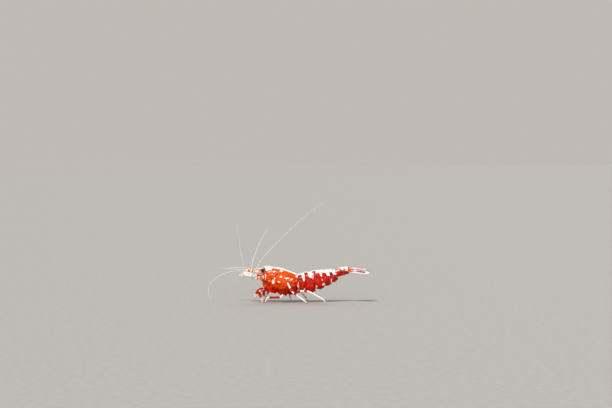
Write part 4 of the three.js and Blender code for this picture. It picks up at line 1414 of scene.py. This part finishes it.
antennae = {
    "left": {
        "base": [(-7.35, -0.98, 5.05), (-8.3, -1.15, 4.92), (-9.15, -1.25, 4.78)],
        "scale": {"root": (-7.95, -1.15, 5.1), "tip": (-11.45, -1.32, 5.84), "half": 0.58,
                  "up": (0, -0.78, 0.62), "outerSide": 1},
        "feeler": [(-9.0, -1.25, 4.8), (-9.45, -1.5, 4.92), (-9.55, -1.9, 5.45), (-9.1, -2.0, 6.35),
                   (-8.4, -1.95, 7.3), (-7.3, -2.1, 9.0), (-5.3, -2.6, 11.2), (-2.6, -3.3, 13.9),
                   (0.6, -4.1, 17.0), (4.6, -5.0, 20.0)],
    },
    "right": {
        "base": [(-7.35, 0.98, 5.05), (-8.3, 1.15, 4.92), (-9.15, 1.25, 4.78)],
        "scale": {"root": (-8.0, 1.15, 5.2), "tip": (-12.4, 1.38, 5.2), "half": 0.66,
                  "up": (0, 0.96, 0.28), "outerSide": -1},
        "feeler": [(-9.0, 1.25, 4.8), (-9.5, 1.55, 4.9), (-10.3, 1.95, 5.35), (-11.3, 2.1, 5.95),
                   (-12.8, 2.2, 6.05), (-14.6, 2.3, 5.75), (-16.2, 2.4, 5.1), (-17.7, 2.4, 4.0),
                   (-18.45, 2.3, 2.6), (-18.3, 2.1, 1.2), (-17.7, 1.9, 0.1)],
    },
}


def spineSection(t, angle):
    half = feelerBases["spineHalf"] * (1 - t ** feelerBases["spineTaper"])
    return oval(half * roundEnds(t, feelerBases["spineRound"]), angle, across=feelerBases["spineFlat"])


for side, parts in antennules.items():
    radii = feelerBases["stalkRadii"]
    stalk = makeLimb(
        "stalk", parts["stalk"], radii, feelerBases["stalkWhite"], feelerBases["stalkWarm"],
        feelerBases["stalkPale"],
    )
    points = [Vector(parts["stalk"][0]) + onSide(step, sides[side]) for step in feelerBases["spine"]]
    line = curveThrough(points, feelerBases["spineSteps"])
    paint = evenly(*feelerBases["spinePaint"])
    spine = swept("sideSpine", line, feelerBases["spineAround"], spineSection, paint)
    name = f"{side}AntennuleStalk"
    finished(joined(name, [stalk, spine]), headChitin, "head_limb", f"antennule_{side}")
    bristleLimb("headBristles", parts["stalk"], radii, *feelerBases["bristles"])
    for feeler in ("upper", "front"):
        piece = makeFeeler(f"{side}{feeler.title()}Feeler", parts[feeler], *feelerBases["upperRadii"])
        finished(piece, feelerChitin, "feeler", f"antennule_{side}_{feeler}_feeler")

# Both antenna scales: form and fringe. They are rosy along the inner half, and white at the straight outer
# edge and round the tip.
scaleForm = {
    "thick": 0.06, "rib": 0.05, "cup": 0.12, "outline": (0.7, 0.3, 0.45), "fringe": (60, 0.36, 0.25),
    "straight": through([
        (0, 0.14), (0.12, 0.27), (0.3, 0.37), (0.5, 0.4), (0.84, 0.36), (0.9, 0.16), (1.0, 0.02),
    ]),
    "white": 0.32, "rosy": 0.29, "outerFade": (0.75, 0.1), "innerFade": (-1.0, -0.75), "warm": 0.7,
    "tipFade": (0.95, 0.8), "redRoot": 0.7, "rootFade": (0.2, 0.05), "yellow": 0.1,
    "yellowFade": (0.8, 0.2),
}


def makeScale(side, scale):
    leaf = dict(
        scale, thick=scaleForm["thick"], rib=scaleForm["rib"], cup=scaleForm["cup"],
        outline=leafOutline(scale["half"], *scaleForm["outline"]), outer=scaleForm["straight"],
    )

    def paint(u, v, point):
        toOuter = math.sin(2 * math.pi * u) * scale["outerSide"]
        rosy = scaleForm["rosy"] * smooth(*scaleForm["outerFade"], toOuter)
        rosy *= smooth(*scaleForm["tipFade"], v) * smooth(*scaleForm["innerFade"], toOuter)
        level = scaleForm["white"] - rosy - scaleForm["redRoot"] * smooth(*scaleForm["rootFade"], v)
        return level, scaleForm["yellow"] * smooth(*scaleForm["yellowFade"], v), scaleForm["warm"]

    blade = makeBlade(f"{side}AntennaScale", leaf, paint)
    finished(blade, headChitin, "head_limb", f"antenna_{side}_scale")
    fringeBlade("scaleBristles", leaf, *scaleForm["fringe"], edges=(-scale["outerSide"],))


for side, parts in antennae.items():
    base = [onSide(feelerBases["baseRoot"], sides[side])] + parts["base"]
    white, warm = feelerBases["baseWhite"], feelerBases["baseWarm"]
    limb = makeLimb(f"{side}AntennaBase", base, feelerBases["baseRadii"], white, warm)
    finished(limb, headChitin, "head_limb", f"antenna_{side}_base")
    makeScale(side, parts["scale"])
    radii = feelerBases["longRadii"]
    piece = makeFeeler(f"{side}AntennaFeeler", parts["feeler"], *radii, floor=True)
    finished(piece, feelerChitin, "feeler", f"antenna_{side}_feeler_1", f"antenna_{side}_feeler_2")
print("feelers made")

bristleSlots = {
    "telsonBristles": "tail_fan", "tailFanBristles": "tail_fan", "swimmeretBristles": "limb",
    "legBristles": "limb", "mouthBristles": "limb", "clawBrushes": "limb", "flapBristles": "shell",
    "headBristles": "head_limb", "scaleBristles": "head_limb",
}
for where, slot in bristleSlots.items():
    finished(makeBristles(where), bristleChitin, slot)
finished(makeBristles("rostrumTeeth", 0.1), shellChitin, "shell")
print("bristles made:", sum(len(bunch) for bunch in bristles.values()))


# Matt paper, pressed from short fibres, gives the floor an even tone with no gloss. "far" is that tone as
# it looks when lit, so that no horizon shows.
stage = {
    "floor": "#c2c0bc", "floorFleck": "#bcbab6", "fibre": (1.1, 3.0, 0.5), "fibreFade": (0.3, 0.7),
    "rough": 0.9, "size": 40.0, "far": ("#b5b1ab", 1.0), "room": ("#dfe6ee", 0.3),
}


def makeStage():
    material, tree, place = newMaterial("matt_paper")
    fibres = addNode(tree, "TexNoise", None, place, *asNoise(*stage["fibre"]))
    share = addNode(tree, "MapRange", gradual, fibres, *stage["fibreFade"])
    floor, fleck = linear(stage["floor"]), linear(stage["floorFleck"])
    colour = addNode(tree, "Mix", colourMix, share, floor, fleck)
    shader = addNode(tree, "BsdfPrincipled", None, Base_Color=colour, Roughness=stage["rough"])
    addNode(tree, "OutputMaterial", None, shader)
    bpy.ops.object.select_all(action="DESELECT")
    bpy.ops.mesh.primitive_plane_add(size=stage["size"])
    floor = bpy.context.object
    floor.name = "paperFloor"
    floor.data.materials.append(material)

    # the far wall looks as pale as the floor, and lights the animal only dimly
    world = bpy.data.worlds.new("softRoom")
    bpy.context.scene.world = world
    world.use_nodes = True
    tree = world.node_tree
    tree.nodes.clear()
    seen = addNode(tree, "LightPath").outputs["Is Camera Ray"]
    far, room = (
        addNode(tree, "Background", None, linear(colour), strength)
        for colour, strength in (stage["far"], stage["room"])
    )
    both = addNode(tree, "MixShader", None, seen, room, far)
    addNode(tree, "OutputWorld", None, both)


# Every lamp is a wide sun, so the floor is lit alike up to the horizon. It shines from where "from" says.
lamps = {
    "top": {"from": (-0.25, -0.55, 0.9), "power": 1.8, "spread": 14, "colour": "#fff8f0"},
    "key": {"from": (-0.4, -0.85, 0.35), "power": 0.5, "spread": 22, "colour": "#fff6ea"},
    "fill": {"from": (0.2, -0.95, 0.05), "power": 0.85, "spread": 36, "colour": "#fff4ec"},
    "rim": {"from": (0.22, 0.75, 0.55), "power": 0.45, "spread": 22, "colour": "#ffffff"},
}


def makeLamps():
    for name, lamp in lamps.items():
        bpy.ops.object.light_add(type="SUN", location=Vector(lamp["from"]))
        light = bpy.context.object
        light.name = f"{name}Lamp"
        light.data.angle = math.radians(lamp["spread"])
        light.data.energy = lamp["power"]
        light.data.color = linear(lamp["colour"])[:3]
        light.rotation_euler = Vector(lamp["from"]).to_track_quat("Z", "Y").to_euler()


# A long lens almost level with the floor; the tilt puts the horizon above the picture's middle.
view = {"place": (1.2, -340.0, 27.84), "lens": 100.0, "sensor": 36.0, "tilt": 1.38, "nearest": 0.01}


def makeCamera():
    camera = bpy.data.cameras.new("longLens")
    camera.lens = view["lens"]
    camera.sensor_width = view["sensor"]
    camera.clip_start = view["nearest"]
    holder = bpy.data.objects.new("longLens", camera)
    bpy.context.scene.collection.objects.link(holder)
    holder.location = inFrame(view["place"])
    holder.rotation_euler = (math.radians(90 - view["tilt"]), 0, 0)
    bpy.context.scene.camera = holder


makeStage()
makeLamps()
makeCamera()
bpy.context.scene.view_settings.view_transform = "Standard"
bpy.context.scene.view_settings.look = "Medium High Contrast"
print("stage made")
